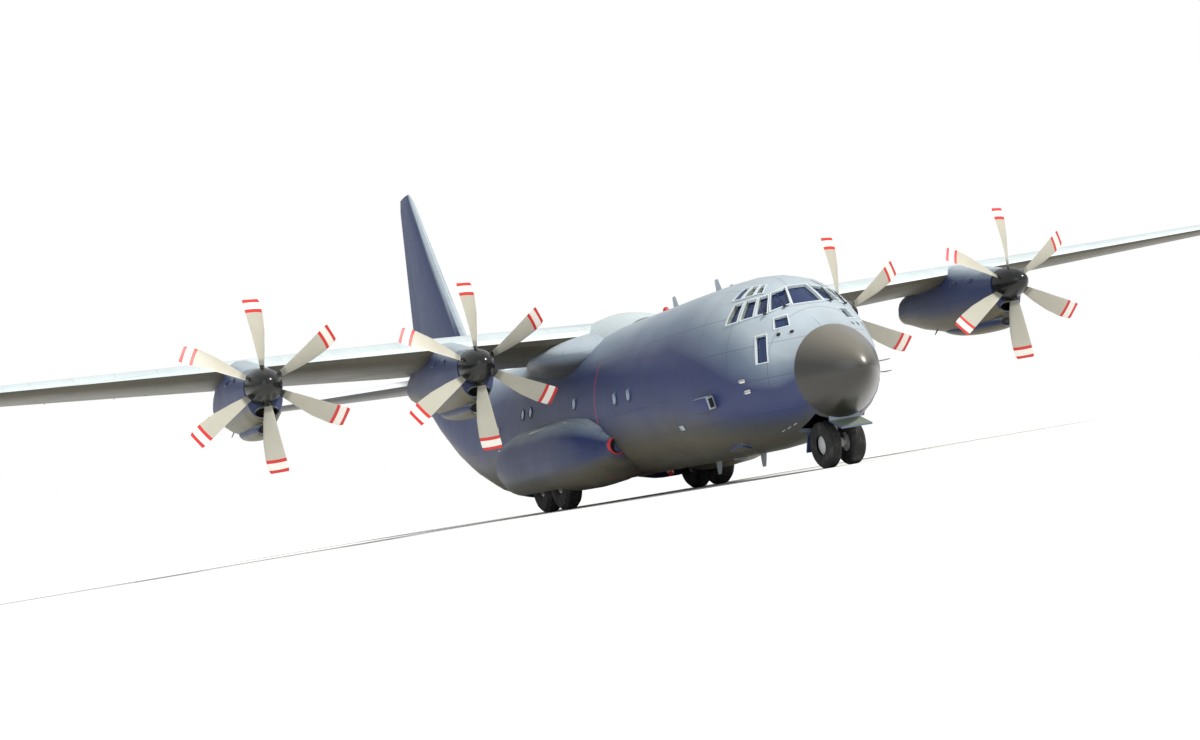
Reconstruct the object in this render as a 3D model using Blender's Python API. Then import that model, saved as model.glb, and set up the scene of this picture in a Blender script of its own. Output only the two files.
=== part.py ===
"""Four-engined military transport plane, parked on its landing gear, as a 1:2 scale model.

All sizes below are full-size metres; SCALE brings the finished meshes down to the model.
X runs to the plane's left (port), Y runs aft, Z runs up, and the ground is at Z = 0.
A station is a distance aft of the nose tip.
"""

import math
from collections import namedtuple

import bmesh
import bpy
from mathutils import Matrix, Vector

# Driving dimensions, in full-size metres
SCALE = 0.5
LENGTH = 34.37
WING_SPAN = 40.40
TAIL_SPAN = 16.05
SEAT_GAP = 0.0007
RUN_GAP = 0.011
HULL_WALL = 0.12
TAIL_WALL = 0.085
NOSE_WALL = 0.08

# Places along the hull
RADOME_END = 1.30
NOSE_END = 3.86
FRONT_END = 12.30
CENTRE_END = 20.93
RAMP_END = 24.10
DOOR_END = 28.60
HOLLOW_END = 33.00
HOLD_FLOOR = 1.04
FLOOR_HALF_WIDTH = 1.52

# Places of the running gear
NOSE_GEAR_STATION = 1.83
NOSE_TYRE_RADIUS, NOSE_TYRE_WIDTH, NOSE_RIM_RADIUS = 0.495, 0.33, 0.205
NOSE_TYRE_OFFSET = 0.285
MAIN_AXLE_STATIONS = (13.39, 14.91)
MAIN_TYRE_RADIUS, MAIN_TYRE_WIDTH, MAIN_RIM_RADIUS = 0.71, 0.50, 0.27
MAIN_TRACK = 4.35
STRUT_X = 1.80
AXLE_RADIUS = 0.060
BORE_RADIUS = 0.0616
HINGE_PIN, HINGE_BORE = 0.030, 0.0315
RAMP_KNUCKLE, RAMP_POCKET = 0.050, 0.0516

# Wheel wells, half width or reach outward first, then stations and ceiling
WELL_INNER_X, WELL_OUTER_X = 1.68, 2.56
WELL_FRONT, WELL_REAR, WELL_CEILING = 12.55, 15.75, 2.00

# Engines and propellers
PROP_STATION = 10.24
ENGINE_X = (4.96, 10.16)
ENGINE_Z = (3.80, 4.03)
PROP_RADIUS = 2.055
BLADE_COUNT = 6

# Wing
WING_LEAD = 12.57
WING_ROOT_CHORD, WING_TIP_CHORD = 4.88, 2.48
WING_KINK_X = 5.59
WING_Z = 4.25
WING_DIHEDRAL = math.radians(2.5)
WING_INCIDENCE = math.radians(3.0)
FLAP_HINGE, AILERON_HINGE = 0.77, 0.76
FLAP_PIVOT_DROP = 0.80
INNER_FLAP = (2.05, 5.55)
OUTER_FLAP = (5.64, 12.10)
AILERON = (12.18, 19.20)

# Tail
TAILPLANE_Z = 5.02
TAIL_ROOT_X = 0.40
ELEVATOR_HINGE = 0.68
ELEVATOR = (1.15, 7.70)
FIN_TOP = 11.84
RUDDER_BASE, RUDDER_TOP = 5.52, 11.48

RING_POINTS = 32
WHEEL_SIDES = 24
Section = namedtuple("Section", "station half_width top middle bottom belly roof", defaults=(2.0,))

# The hull's sections: belly and roof are superellipse exponents, 2 for a true ellipse
HULL = [Section(*row) for row in (
    # station, half width, top, widest level, bottom, belly
    (1.30, 0.98, 2.96, 1.98, 1.00, 2.00),
    (1.70, 1.21, 3.24, 2.00, 0.93, 2.05),
    (2.00, 1.38, 3.52, 2.03, 0.87, 2.10),
    (2.50, 1.63, 3.98, 2.09, 0.78, 2.20),
    (2.90, 1.78, 4.21, 2.14, 0.71, 2.30),
    (3.40, 1.92, 4.33, 2.20, 0.65, 2.45),
    (3.86, 2.01, 4.39, 2.24, 0.61, 2.55),
    (5.20, 2.13, 4.44, 2.28, 0.56, 2.70),
    (6.60, 2.16, 4.45, 2.29, 0.55, 2.70),
    (20.93, 2.16, 4.45, 2.29, 0.55, 2.70),
    (22.50, 2.13, 4.52, 2.50, 1.02, 2.60),
    (24.10, 2.02, 4.62, 2.85, 1.62, 2.50),
    (26.40, 1.72, 4.78, 3.45, 2.52, 2.40),
    (28.65, 1.34, 4.95, 4.05, 3.40, 2.30),
    (30.60, 1.02, 5.12, 4.50, 4.02, 2.20),
    (32.60, 0.66, 5.22, 4.82, 4.48, 2.10),
    (34.00, 0.30, 5.20, 5.00, 4.82, 2.00),
    (34.37, 0.08, 5.12, 5.02, 4.93, 2.00),
)]

# The hold between the wheel wells is narrow and nearly square
NARROW_HOLD = Section(0.0, 1.58, 3.80, 2.29, 0.67, 8.0, 4.0)

# Cockpit panes, as bearings from straight ahead about PANE_AXIS and heights at each side
PANE_AXIS = 3.30
Pane = namedtuple("Pane", "near far low_near low_far high_near high_far")
CENTRE_PANE = Pane(-16.0, 16.0, 3.54, 3.54, 3.97, 3.97)
SIDE_PANES = [Pane(*row) for row in (
    (18.5, 38.0, 3.57, 3.47, 3.96, 3.87),
    (41.0, 51.5, 3.45, 3.43, 3.84, 3.82),
    (54.5, 67.0, 3.42, 3.40, 3.81, 3.80),
    (70.5, 82.5, 3.39, 3.37, 3.79, 3.78),
    (50.0, 59.0, 3.92, 3.92, 4.10, 4.09),
    (63.0, 76.0, 3.91, 3.90, 4.11, 4.11),
    (80.0, 92.0, 3.89, 3.89, 4.12, 4.12),
    (24.0, 35.0, 3.08, 3.06, 3.32, 3.29),
    (41.5, 50.0, 2.40, 2.40, 2.98, 2.97),
)]

# Fairing over the wing root
HUMP = [Section(*row) for row in (
    (11.20, 0.70, 4.52, 4.00, 3.60, 2.0),
    (11.80, 1.10, 4.70, 3.95, 3.50, 2.0),
    (12.80, 1.42, 4.86, 3.95, 3.50, 2.0),
    (17.20, 1.42, 4.84, 3.95, 3.50, 2.0),
    (18.60, 1.05, 4.66, 3.95, 3.50, 2.0),
    (19.80, 0.55, 4.50, 4.00, 3.60, 2.0),
)]

# Wheel fairings: half widths reach outward from SPONSON_X
SPONSON_X = 1.75
SPONSON = [Section(*row) for row in (
    (9.90, 0.55, 1.75, 1.25, 0.80, 2.2, 2.2),
    (10.20, 0.80, 1.98, 1.25, 0.62, 2.3, 2.3),
    (10.90, 1.02, 2.20, 1.28, 0.47, 2.5, 2.5),
    (12.30, 1.15, 2.34, 1.30, 0.42, 2.8, 2.6),
    (15.90, 1.15, 2.34, 1.30, 0.42, 2.8, 2.6),
    (17.20, 1.00, 2.22, 1.35, 0.52, 2.5, 2.5),
    (18.40, 0.72, 1.95, 1.42, 0.80, 2.2, 2.2),
)]

# Engine nacelle, stations aft of the propeller plane and heights from the shaft
NACELLE = [Section(*row) for row in (
    (0.30, 0.46, 0.45, 0.00, -0.80, 2.2, 2.0),
    (0.75, 0.53, 0.56, 0.00, -0.93, 2.3, 2.1),
    (1.50, 0.56, 0.72, 0.00, -0.98, 2.3, 2.2),
    (2.60, 0.57, 0.92, 0.00, -0.95, 2.3, 2.3),
    (3.60, 0.55, 0.98, 0.00, -0.85, 2.2, 2.3),
    (4.80, 0.47, 0.72, 0.00, -0.62, 2.1, 2.1),
    (5.70, 0.36, 0.46, 0.00, -0.36, 2.0, 2.0),
)]
NACELLE_WALL = 0.05
NACELLE_POINTS = 18
SHAFT_HOLE = 0.28
INTAKE_DROP, INTAKE_HALF_WIDTH, INTAKE_HALF_HEIGHT = 0.60, 0.27, 0.12

# Propeller blade, along its length
Blade = namedtuple("Blade", "radius chord thickness pitch sweep")
BLADE = [Blade(*row) for row in (
    (0.24, 0.16, 0.120, 62, 0.00),
    (0.50, 0.24, 0.080, 56, 0.00),
    (0.85, 0.36, 0.050, 46, 0.02),
    (1.30, 0.41, 0.032, 36, 0.03),
    (1.70, 0.38, 0.022, 29, 0.00),
    (1.97, 0.29, 0.015, 25, -0.06),
    (PROP_RADIUS, 0.14, 0.010, 24, -0.11),
)]
SPINNER = ((-0.66, 0.03), (-0.62, 0.13), (-0.50, 0.235), (-0.30, 0.34), (-0.05, 0.415), (0.22, 0.45))

WING_STATIONS = (12.0, 19.4, 20.0, WING_SPAN / 2)
WING_FRACTIONS = (0.012, 0.05, 0.13, 0.28, 0.45, 0.62, 0.76, 0.88)


def clear_scene():
    for item in list(bpy.data.objects):
        bpy.data.objects.remove(item, do_unlink=True)


def at(station):
    """The Y of a station."""
    return station - LENGTH / 2


# Materials


def paint(name, colour, roughness, metallic=0.0):
    material = bpy.data.materials.new(name)
    material.use_nodes = True
    shader = material.node_tree.nodes["Principled BSDF"]
    shader.inputs["Base Color"].default_value = (*colour, 1.0)
    shader.inputs["Roughness"].default_value = roughness
    shader.inputs["Metallic"].default_value = metallic
    material.diffuse_color = (*colour, 1.0)
    return material


def make_paints():
    return {
        "hull": paint("hull_paint", (0.25, 0.30, 0.36), 0.45),
        "wing": paint("wing_paint", (0.34, 0.36, 0.38), 0.45),
        "control": paint("control_paint", (0.30, 0.32, 0.34), 0.5),
        "tail": paint("tail_composite", (0.22, 0.26, 0.34), 0.45),
        "radome": paint("radome_paint", (0.16, 0.14, 0.10), 0.25),
        "nacelle": paint("nacelle_paint", (0.16, 0.18, 0.24), 0.4),
        "spinner": paint("spinner_paint", (0.03, 0.03, 0.03), 0.2),
        "glass": paint("window_glass", (0.03, 0.05, 0.09), 0.08),
        "inside": paint("inside_paint", (0.30, 0.33, 0.30), 0.6),
        "floor": paint("floor_metal", (0.28, 0.29, 0.29), 0.55, 0.6),
        "engine": paint("engine_metal", (0.35, 0.34, 0.32), 0.45, 0.8),
        "gear": paint("gear_paint", (0.62, 0.63, 0.62), 0.4),
        "rim": paint("rim_metal", (0.55, 0.56, 0.56), 0.4, 0.6),
        "tyre": paint("tyre_rubber", (0.03, 0.03, 0.03), 0.85),
    }


# Mesh builders


def skin(rings, wrap=False):
    """A closed mesh over rings of equal point counts: capped ends, or joined end to end."""
    mesh = bmesh.new()
    rows = [[mesh.verts.new(point) for point in ring] for ring in rings]
    pairs = list(zip(rows, rows[1:]))
    if wrap:
        pairs.append((rows[-1], rows[0]))
    else:
        mesh.faces.new(rows[0])
        mesh.faces.new(rows[-1])
    count = len(rows[0])
    for row, following in pairs:
        if runs_backward(row, following):
            row, following = following, row
        for i in range(count):
            j = (i + 1) % count
            a, b = (i, j) if i < count / 2 else (j, i)
            mesh.faces.new((row[a], row[b], following[b]))
            mesh.faces.new((row[a], following[b], following[a]))
    bmesh.ops.recalc_face_normals(mesh, faces=mesh.faces)
    return mesh


def runs_backward(row, following):
    """Whether the step from one ring to the next runs down its main axis.

    Every skin splits its quads by this rule, so a body and the tool that clears it agree.
    """
    step = Vector()
    for before, after in zip(row, following):
        step += after.co - before.co
    return max(step, key=abs) < 0


def grown(ring, amount):
    """The flat ring with every side moved outward."""
    count = len(ring)
    normal = Vector()
    for i in range(count):
        normal += ring[i].cross(ring[(i + 1) % count])
    normal.normalize()
    result = []
    for i in range(count):
        before = (ring[i] - ring[i - 1]).normalized().cross(normal)
        after = (ring[(i + 1) % count] - ring[i]).normalized().cross(normal)
        middle = (before + after).normalized()
        result.append(ring[i] + middle * amount / max(0.4, middle.dot(before)))
    return result


def prism(outline, direction):
    """A flat outline pushed along a direction."""
    return skin([outline, [point + direction for point in outline]])


def box(x0, x1, y0, y1, z0, z1):
    corners = [Vector((x0, y0, z0)), Vector((x1, y0, z0)), Vector((x1, y1, z0)), Vector((x0, y1, z0))]
    return prism(corners, Vector((0, 0, z1 - z0)))


def side_prism(profile, x0, x1):
    """A side-view outline of stations and heights, pushed across the plane."""
    outline = [Vector((x0, at(station), z)) for station, z in profile]
    return prism(outline, Vector((x1 - x0, 0, 0)))


def circle(centre, radius, axis, count, stretch=1.0, phase=0.5):
    """A ring of points about an axis named X, Y or Z; stretch widens it sideways."""
    points = []
    for i in range(count):
        angle = 2 * math.pi * (i + phase) / count
        across, up = radius * math.cos(angle) * stretch, radius * math.sin(angle)
        offset = {"X": (0, across, up), "Y": (across, 0, up), "Z": (across, up, 0)}[axis]
        points.append(Vector(centre) + Vector(offset))
    return points


def rod(start, end, radius, axis, count=16):
    return skin([circle(start, radius, axis, count), circle(end, radius, axis, count)])


def turned(profile, centre, axis, count):
    """A closed profile of (distance along the axis, radius) turned about the axis."""
    rings = []
    for i in range(count):
        angle = 2 * math.pi * i / count
        ring = []
        for along, radius in profile:
            across, up = radius * math.cos(angle), radius * math.sin(angle)
            offset = {"X": (along, across, up), "Y": (across, along, up)}[axis]
            ring.append(Vector(centre) + Vector(offset))
        rings.append(ring)
    return skin(rings, wrap=True)


def merged(meshes):
    """Several separate closed meshes in one, for use as a Boolean tool."""
    whole = bmesh.new()
    for mesh in meshes:
        data = bpy.data.meshes.new("piece")
        mesh.to_mesh(data)
        mesh.free()
        whole.from_mesh(data)
        bpy.data.meshes.remove(data)
    return whole


def place(name, mesh, material=None, pivot=(0, 0, 0), sharp=32):
    """Turn a full-size mesh into an object of the model, with its origin at the pivot."""
    bmesh.ops.translate(mesh, verts=mesh.verts, vec=-Vector(pivot))
    bmesh.ops.scale(mesh, verts=mesh.verts, vec=(SCALE, SCALE, SCALE))
    data = bpy.data.meshes.new(name)
    mesh.to_mesh(data)
    mesh.free()
    data.shade_smooth()
    data.set_sharp_from_angle(angle=math.radians(sharp))
    item = bpy.data.objects.new(name, data)
    item.location = Vector(pivot) * SCALE
    bpy.context.scene.collection.objects.link(item)
    if material:
        data.materials.append(material)
    return item


def tool(name, mesh):
    """A hidden object that only shapes others."""
    item = place(name, mesh)
    item.hide_render = True
    item.display_type = "WIRE"
    return item


def combine(item, other, operation):
    modifier = item.modifiers.new(operation.lower() + "_" + other.name, "BOOLEAN")
    modifier.operation = operation
    modifier.object = other
    modifier.solver = "EXACT"


# Hull


def blended(table, station):
    """The section at a station, between the rows of a table."""
    for before, after in zip(table, table[1:]):
        if station <= after.station + 1e-9:
            share = (station - before.station) / (after.station - before.station)
            return Section(*(a + (b - a) * share for a, b in zip(before, after)))
    return table[-1]


def stretch_of(table, start, end):
    """The rows of a table from one station to another, with both ends exact."""
    inside = [row for row in table if start + 1e-6 < row.station < end - 1e-6]
    return [blended(table, start), *inside, blended(table, end)]


def power(value, exponent):
    return math.copysign(abs(value) ** exponent, value)


def hull_ring(row, inset=0.0, centre=(0.0, 0.0, 0.0), count=RING_POINTS):
    """The ring of a section; its top and bottom are flat edges."""
    points = []
    for i in range(count):
        angle = 2 * math.pi * (i + 0.5) / count
        side, up = math.sin(angle), math.cos(angle)
        exponent = 2 / (row.roof if up > 0 else row.belly)
        height = (row.top - row.middle if up > 0 else row.middle - row.bottom) - inset
        points.append(Vector((
            centre[0] + (row.half_width - inset) * power(side, exponent),
            centre[1] + at(row.station),
            centre[2] + row.middle + height * power(up, exponent),
        )))
    return points


def hull_form(start, end, inset=0.0):
    """The solid hull between two stations."""
    return skin([hull_ring(row, inset) for row in stretch_of(HULL, start, end)])


def tube(outer, inner, closed_front=False):
    """A hollow body: outer rings, inner rings and the rims that join them."""
    rings = [*outer, *reversed(inner)]
    return skin(rings) if closed_front else skin(rings, wrap=True)


def hull_shell(start, end, wall, front_wall=0.0):
    outer = [hull_ring(row) for row in stretch_of(HULL, start, end)]
    inner = [hull_ring(row, wall) for row in stretch_of(HULL, start + front_wall, end)]
    return tube(outer, inner, front_wall > 0)


def make_radome(paints):
    """A blunt turned nose cap that meets the hull's first ring."""
    rings = []
    base = HULL[0]
    steps = 7
    for i in range(steps + 1):
        swing = math.radians(8 + 82 * i / steps)
        station = RADOME_END - SEAT_GAP - RADOME_END * math.cos(swing) / math.cos(math.radians(8))
        share = math.sin(swing) ** 0.92
        middle = base.middle - 0.05 * (1 - i / steps)
        radius = base.half_width * share
        row = Section(station, radius, middle + radius, middle, middle - radius, 2.0)
        rings.append(hull_ring(row))
    return place("radome", skin(rings), paints["radome"])


def pane_mesh(pane, side):
    """A wedge from the pane axis outward that cuts one pane's opening."""
    def ring(reach):
        points = []
        for bearing, z in (
            (pane.near, pane.low_near), (pane.far, pane.low_far),
            (pane.far, pane.high_far), (pane.near, pane.high_near),
        ):
            angle = math.radians(bearing)
            points.append(Vector((
                side * reach * math.sin(angle), at(PANE_AXIS) - reach * math.cos(angle), z,
            )))
        return points
    return skin([ring(0.30), ring(2.60)])


def make_nose(paints):
    nose = place("nose_section", hull_shell(RADOME_END, NOSE_END, NOSE_WALL, NOSE_WALL), paints["hull"])
    panes = [pane_mesh(CENTRE_PANE, 1)]
    upper = []
    for index, pane in enumerate(SIDE_PANES):
        group = upper if 4 <= index <= 6 else panes
        group.extend(pane_mesh(pane, side) for side in (-1, 1))
    for name, group in (("pane_cutter", panes), ("eyebrow_cutter", upper)):
        for index, mesh in enumerate(group):
            combine(nose, tool(f"{name}_{index}", mesh), "DIFFERENCE")
    well = tool("nose_well_cutter", box(-0.60, 0.60, at(1.42), at(2.42), 0.30, 1.28))
    combine(nose, well, "DIFFERENCE")
    return nose


CREW_DOOR = (3.02, 3.74, 1.06, 2.02)


def make_crew_door(nose, paints):
    front, rear, sill, head = CREW_DOOR
    opening = tool("crew_door_cutter", box(1.0, 2.4, at(front), at(rear), sill, head))
    combine(nose, opening, "DIFFERENCE")
    gap = RUN_GAP
    leaf = box(1.0, 2.4, at(front) + gap, at(rear) - gap, sill + gap, head - gap)
    hinge_row = blended(HULL, rear)
    drop = (hinge_row.middle - sill) / (hinge_row.middle - hinge_row.bottom)
    hinge_x = hinge_row.half_width * (1 - drop ** hinge_row.belly) ** (1 / hinge_row.belly)
    pivot = (hinge_x, at((front + rear) / 2), sill + gap)
    door = place("crew_door", hull_shell(RADOME_END, NOSE_END, NOSE_WALL, NOSE_WALL), paints["hull"], pivot)
    combine(door, tool("crew_door_keeper", leaf), "INTERSECT")
    near, far = at(3.46), at(3.66)
    hinge_z = sill + gap
    ledge = box(hinge_x - 0.12, hinge_x + 0.01, near, far, sill - 0.05, sill - 0.005)
    combine(nose, tool("crew_door_ledge", ledge), "UNION")
    pin = rod((hinge_x, near, hinge_z), (hinge_x, far, hinge_z), HINGE_PIN, "Y")
    combine(nose, tool("crew_door_pin", pin), "UNION")
    pocket = rod((hinge_x, near - gap, hinge_z), (hinge_x, far + gap, hinge_z), HINGE_BORE, "Y")
    combine(door, tool("crew_door_pocket", pocket), "DIFFERENCE")
    return door


def make_glazing(paints):
    """One curved sheet just behind the cockpit's window posts."""
    rows = stretch_of(HULL, 1.70, 3.40)
    outer = [hull_ring(row, NOSE_WALL + SEAT_GAP) for row in rows]
    inner = [hull_ring(row, NOSE_WALL + 0.025) for row in rows]
    sheet = place("cockpit_glazing", tube(outer, inner), paints["glass"])
    upper = tool("glazing_keeper", box(-2.5, 2.5, at(1.0), at(4.2), 2.25, 5.0))
    combine(sheet, upper, "INTERSECT")
    return sheet


def make_flight_deck(paints):
    """Raised floor, instrument panel, seats and rear bulkhead, trimmed to the nose's inside."""
    deck_low, deck_top = 2.06, 2.16
    deck = place("flight_deck", box(-2.1, 2.1, at(1.60), at(3.84), deck_low, deck_top), paints["inside"])
    sunk = deck_top - 0.03
    seat = ((0.0, sunk), (0.46, sunk), (0.58, 3.10), (0.44, 3.10), (0.38, 2.62), (0.0, 2.62))
    pieces = []
    for x, station in ((-0.62, 2.62), (0.62, 2.62), (0.0, 3.05)):
        profile = [(station + along, z) for along, z in seat]
        pieces.append(side_prism(profile, x - 0.24, x + 0.24))
    panel = ((2.02, sunk), (2.22, sunk), (2.36, 3.20), (2.02, 3.34))
    pieces.append(side_prism(panel, -1.6, 1.6))
    pieces.append(box(-0.16, 0.16, at(2.30), at(2.62), sunk, 2.72))
    side_post, wide, head, high = 0.36, 2.2, 3.96, 4.6
    wall = [
        (-wide, sunk), (-side_post, sunk), (-side_post, head), (side_post, head),
        (side_post, sunk), (wide, sunk), (wide, high), (-wide, high),
    ]
    outline = [Vector((x, at(3.74), z)) for x, z in wall]
    pieces.append(prism(outline, Vector((0, 0.10, 0))))
    for index, mesh in enumerate(pieces):
        combine(deck, tool(f"deck_piece_{index}", mesh), "UNION")
    rows = stretch_of(HULL, RADOME_END + 0.1, NOSE_END - 0.001)
    inside = [hull_ring(row, NOSE_WALL + 0.026) for row in rows]
    combine(deck, tool("deck_keeper", skin(inside)), "INTERSECT")
    return deck


def make_forward_fuselage(paints):
    shell = hull_shell(NOSE_END + SEAT_GAP, FRONT_END, HULL_WALL)
    return place("forward_fuselage", shell, paints["hull"])


PARATROOP_DOOR = (18.56, 19.47, 1.06, 2.87)


RAMP_HINGE = (CENTRE_END + 0.08, 0.62)
RAMP_FRONT_GAP = 0.035
RAMP_KNUCKLE_X = (-0.5, 0.5)
RAMP_KNUCKLE_HALF_WIDTH = 0.06


def make_centre_fuselage(wing_tool, paints):
    start, end = FRONT_END + SEAT_GAP, CENTRE_END
    outer = [hull_ring(row) for row in stretch_of(HULL, start, end)]
    plain = [blended(HULL, station) for station in (start, 16.05, end)]
    narrow = [NARROW_HOLD._replace(station=station) for station in (12.45, 15.85)]
    inner = [hull_ring(plain[0], HULL_WALL), *(hull_ring(row) for row in narrow)]
    inner += [hull_ring(row, HULL_WALL) for row in plain[1:]]
    body = place("centre_fuselage", tube(outer, inner), paints["hull"])
    combine(body, wing_tool, "DIFFERENCE")
    front, rear, sill, head = PARATROOP_DOOR
    for side, name in ((1, "left"), (-1, "right")):
        near, far = sorted((side * WELL_INNER_X, side * 2.8))
        well = tool(f"hull_well_{name}", box(near, far, at(WELL_FRONT), at(WELL_REAR), -0.5, WELL_CEILING))
        combine(body, well, "DIFFERENCE")
        near, far = sorted((side * 1.4, side * 2.5))
        opening = box(near, far, at(front), at(rear), sill, head)
        combine(body, tool(f"paratroop_cutter_{name}", opening), "DIFFERENCE")
        gap = SEAT_GAP
        leaf = box(near, far, at(front) + gap, at(rear) - gap, sill + gap, head - gap)
        door = hull_shell(17.0, CENTRE_END, HULL_WALL)
        door = place(f"paratroop_door_{name}", door, paints["hull"])
        combine(door, tool(f"paratroop_keeper_{name}", leaf), "INTERSECT")
    add_ramp_knuckles(body)


# Rear opening: side lines of the hull's underside, and the plan of its edges
OPENING_FRONT_HALF, OPENING_REAR_HALF = 1.50, 0.95
OPENING_REAR = DOOR_END + 0.03


def opening_plan(start, end, inset):
    """Half widths of the rear opening, as a plan outline between two stations."""
    def half(station):
        share = (station - CENTRE_END) / (OPENING_REAR - CENTRE_END)
        return OPENING_FRONT_HALF + (OPENING_REAR_HALF - OPENING_FRONT_HALF) * share - inset
    return [
        Vector((-half(start), at(start), -1)), Vector((half(start), at(start), -1)),
        Vector((half(end), at(end), -1)), Vector((-half(end), at(end), -1)),
    ]


def keeper(name, side, start, end, inset):
    """A tool with the given side view and the plan of the rear opening."""
    tall = tool(name + "_side", side_prism(side, -3.0, 3.0))
    plan = prism(opening_plan(start, end, inset), Vector((0, 0, 7)))
    combine(tall, tool(name + "_plan", plan), "INTERSECT")
    return tall


BELLY_SLOPE = math.atan2(1.62 - 0.55, RAMP_END - CENTRE_END)


def split_line(shift):
    """Two side-view points of the plane between ramp and door, square to the belly."""
    along = Vector((math.cos(BELLY_SLOPE), math.sin(BELLY_SLOPE)))
    up = Vector((-along.y, along.x))
    foot = Vector((RAMP_END, 1.62)) + along * shift
    return tuple(foot - up * 0.9), tuple(foot + up * 1.1)


RAMP_SIDE_GAP = 0.03
DOOR_HINGE = (DOOR_END, 3.60)
DOOR_ARM = ((28.38, 3.37), (28.57, 3.43), (28.645, 3.56), (28.645, 3.645), (28.50, 3.645))
DOOR_BRACKET = (
    (28.56, 3.56), (28.66, 3.56), (28.70, 3.47), (28.95, 3.55), (28.95, 3.645), (28.56, 3.645),
)


def make_aft_fuselage(paints):
    body = place("aft_fuselage", hull_shell_aft(), paints["hull"])
    side = ((CENTRE_END - 0.2, -1.0), (OPENING_REAR, 2.0), (OPENING_REAR, 3.95), (CENTRE_END - 0.2, 1.42))
    combine(body, keeper("rear_opening", side, CENTRE_END - 0.3, OPENING_REAR, 0.0), "DIFFERENCE")
    add_door_brackets(body)
    return body


def hull_shell_aft():
    """The tail end of the hull, hollow as far as the cargo door and solid behind it."""
    start = CENTRE_END + SEAT_GAP
    outer = [hull_ring(row) for row in stretch_of(HULL, start, LENGTH)]
    inner = [hull_ring(row, TAIL_WALL) for row in stretch_of(HULL, start, HOLLOW_END)]
    return skin([*reversed(outer), *inner])


def make_ramp(paints):
    """Solid wedge between the hull's underside and a flat loading surface."""
    low, high = split_line(-RUN_GAP)
    front = CENTRE_END + RAMP_FRONT_GAP
    top_rear = Vector(high) + (Vector(low) - Vector(high)) * 0.37
    side = ((front, -0.5), low, tuple(top_rear), (front, HOLD_FLOOR))
    pivot = (0, at(RAMP_HINGE[0]), RAMP_HINGE[1])
    ramp = place("cargo_ramp", hull_form(CENTRE_END, RAMP_END + 1.2), paints["hull"], pivot)
    combine(ramp, keeper("ramp", side, CENTRE_END - 0.1, RAMP_END + 1.2, RAMP_SIDE_GAP), "INTERSECT")
    station, z = RAMP_HINGE
    for index, x in enumerate(RAMP_KNUCKLE_X):
        half = RAMP_KNUCKLE_HALF_WIDTH + RUN_GAP
        slot = box(x - half, x + half, at(CENTRE_END), at(station), 0.3, z + RAMP_POCKET)
        combine(ramp, tool(f"ramp_slot_{index}", slot), "DIFFERENCE")
        pocket = rod((x - half, at(station), z), (x + half, at(station), z), RAMP_POCKET, "X")
        combine(ramp, tool(f"ramp_pocket_{index}", pocket), "DIFFERENCE")
    return ramp


def add_ramp_knuckles(fuselage):
    """Two arms that reach back from the fuselage floor to the ramp's hinge line."""
    station, z = RAMP_HINGE
    for index, x in enumerate(RAMP_KNUCKLE_X):
        low, high = x - RAMP_KNUCKLE_HALF_WIDTH, x + RAMP_KNUCKLE_HALF_WIDTH
        arm = box(low, high, at(CENTRE_END - 0.2), at(station), z - RAMP_KNUCKLE, z + RAMP_KNUCKLE)
        combine(fuselage, tool(f"ramp_arm_{index}", arm), "UNION")
        knuckle = rod((low, at(station), z), (high, at(station), z), RAMP_KNUCKLE, "X")
        combine(fuselage, tool(f"ramp_knuckle_{index}", knuckle), "UNION")


def make_cargo_door(paints):
    """Curved panel of the hull's underside that swings up inside."""
    low, high = split_line(RUN_GAP)
    side = (low, (DOOR_END, 2.4), (DOOR_END, 3.95), high)
    pivot = (0, at(DOOR_HINGE[0]), DOOR_HINGE[1])
    shell = hull_shell(RAMP_END - 1.0, DOOR_END + 0.4, TAIL_WALL)
    door = place("cargo_door", shell, paints["hull"], pivot)
    combine(door, keeper("door", side, RAMP_END - 1.0, DOOR_END + 0.02, RUN_GAP), "INTERSECT")
    station, z = DOOR_HINGE
    for index, place_x in enumerate((-0.425, 0.425)):
        arm = side_prism(DOOR_ARM, place_x - 0.05, place_x + 0.05)
        combine(door, tool(f"door_arm_{index}", arm), "UNION")
        bore = rod((place_x - 0.2, at(station), z), (place_x + 0.2, at(station), z), HINGE_BORE, "X")
        combine(door, tool(f"door_bore_{index}", bore), "DIFFERENCE")
    return door


def add_door_brackets(fuselage):
    """Brackets behind the cargo door, each with the pin that its arm turns on."""
    station, z = DOOR_HINGE
    for index, side in enumerate((-1, 1)):
        near, far = sorted((side * 0.29, side * 0.35))
        combine(fuselage, tool(f"door_bracket_{index}", side_prism(DOOR_BRACKET, near, far)), "UNION")
        near, far = sorted((side * 0.32, side * 0.50))
        pin = rod((near, at(station), z), (far, at(station), z), HINGE_PIN, "X")
        combine(fuselage, tool(f"door_pin_{index}", pin), "UNION")


def make_cargo_floor(paints):
    """Floor slab that rests in the hull's bottom curve."""
    ring = hull_ring(blended(HULL, 8.0), HULL_WALL)
    low = [point for point in ring if point.z < HOLD_FLOOR - 0.02]
    low.sort(key=lambda point: point.x)
    start, end = at(NOSE_END + 0.02), at(CENTRE_END - SEAT_GAP)
    outline = [Vector((-FLOOR_HALF_WIDTH, start, HOLD_FLOOR))]
    outline += [Vector((point.x, start, point.z + SEAT_GAP)) for point in low]
    outline.append(Vector((FLOOR_HALF_WIDTH, start, HOLD_FLOOR)))
    floor = place("cargo_floor", prism(outline, Vector((0, end - start, 0))), paints["floor"])
    inside = [hull_ring(row, HULL_WALL + SEAT_GAP) for row in stretch_of(HULL, NOSE_END, 8.0)]
    inside.append(hull_ring(blended(HULL, CENTRE_END), HULL_WALL + SEAT_GAP * 0.5))
    combine(floor, tool("floor_keeper", skin(inside)), "INTERSECT")
    return floor


# Wing


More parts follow.
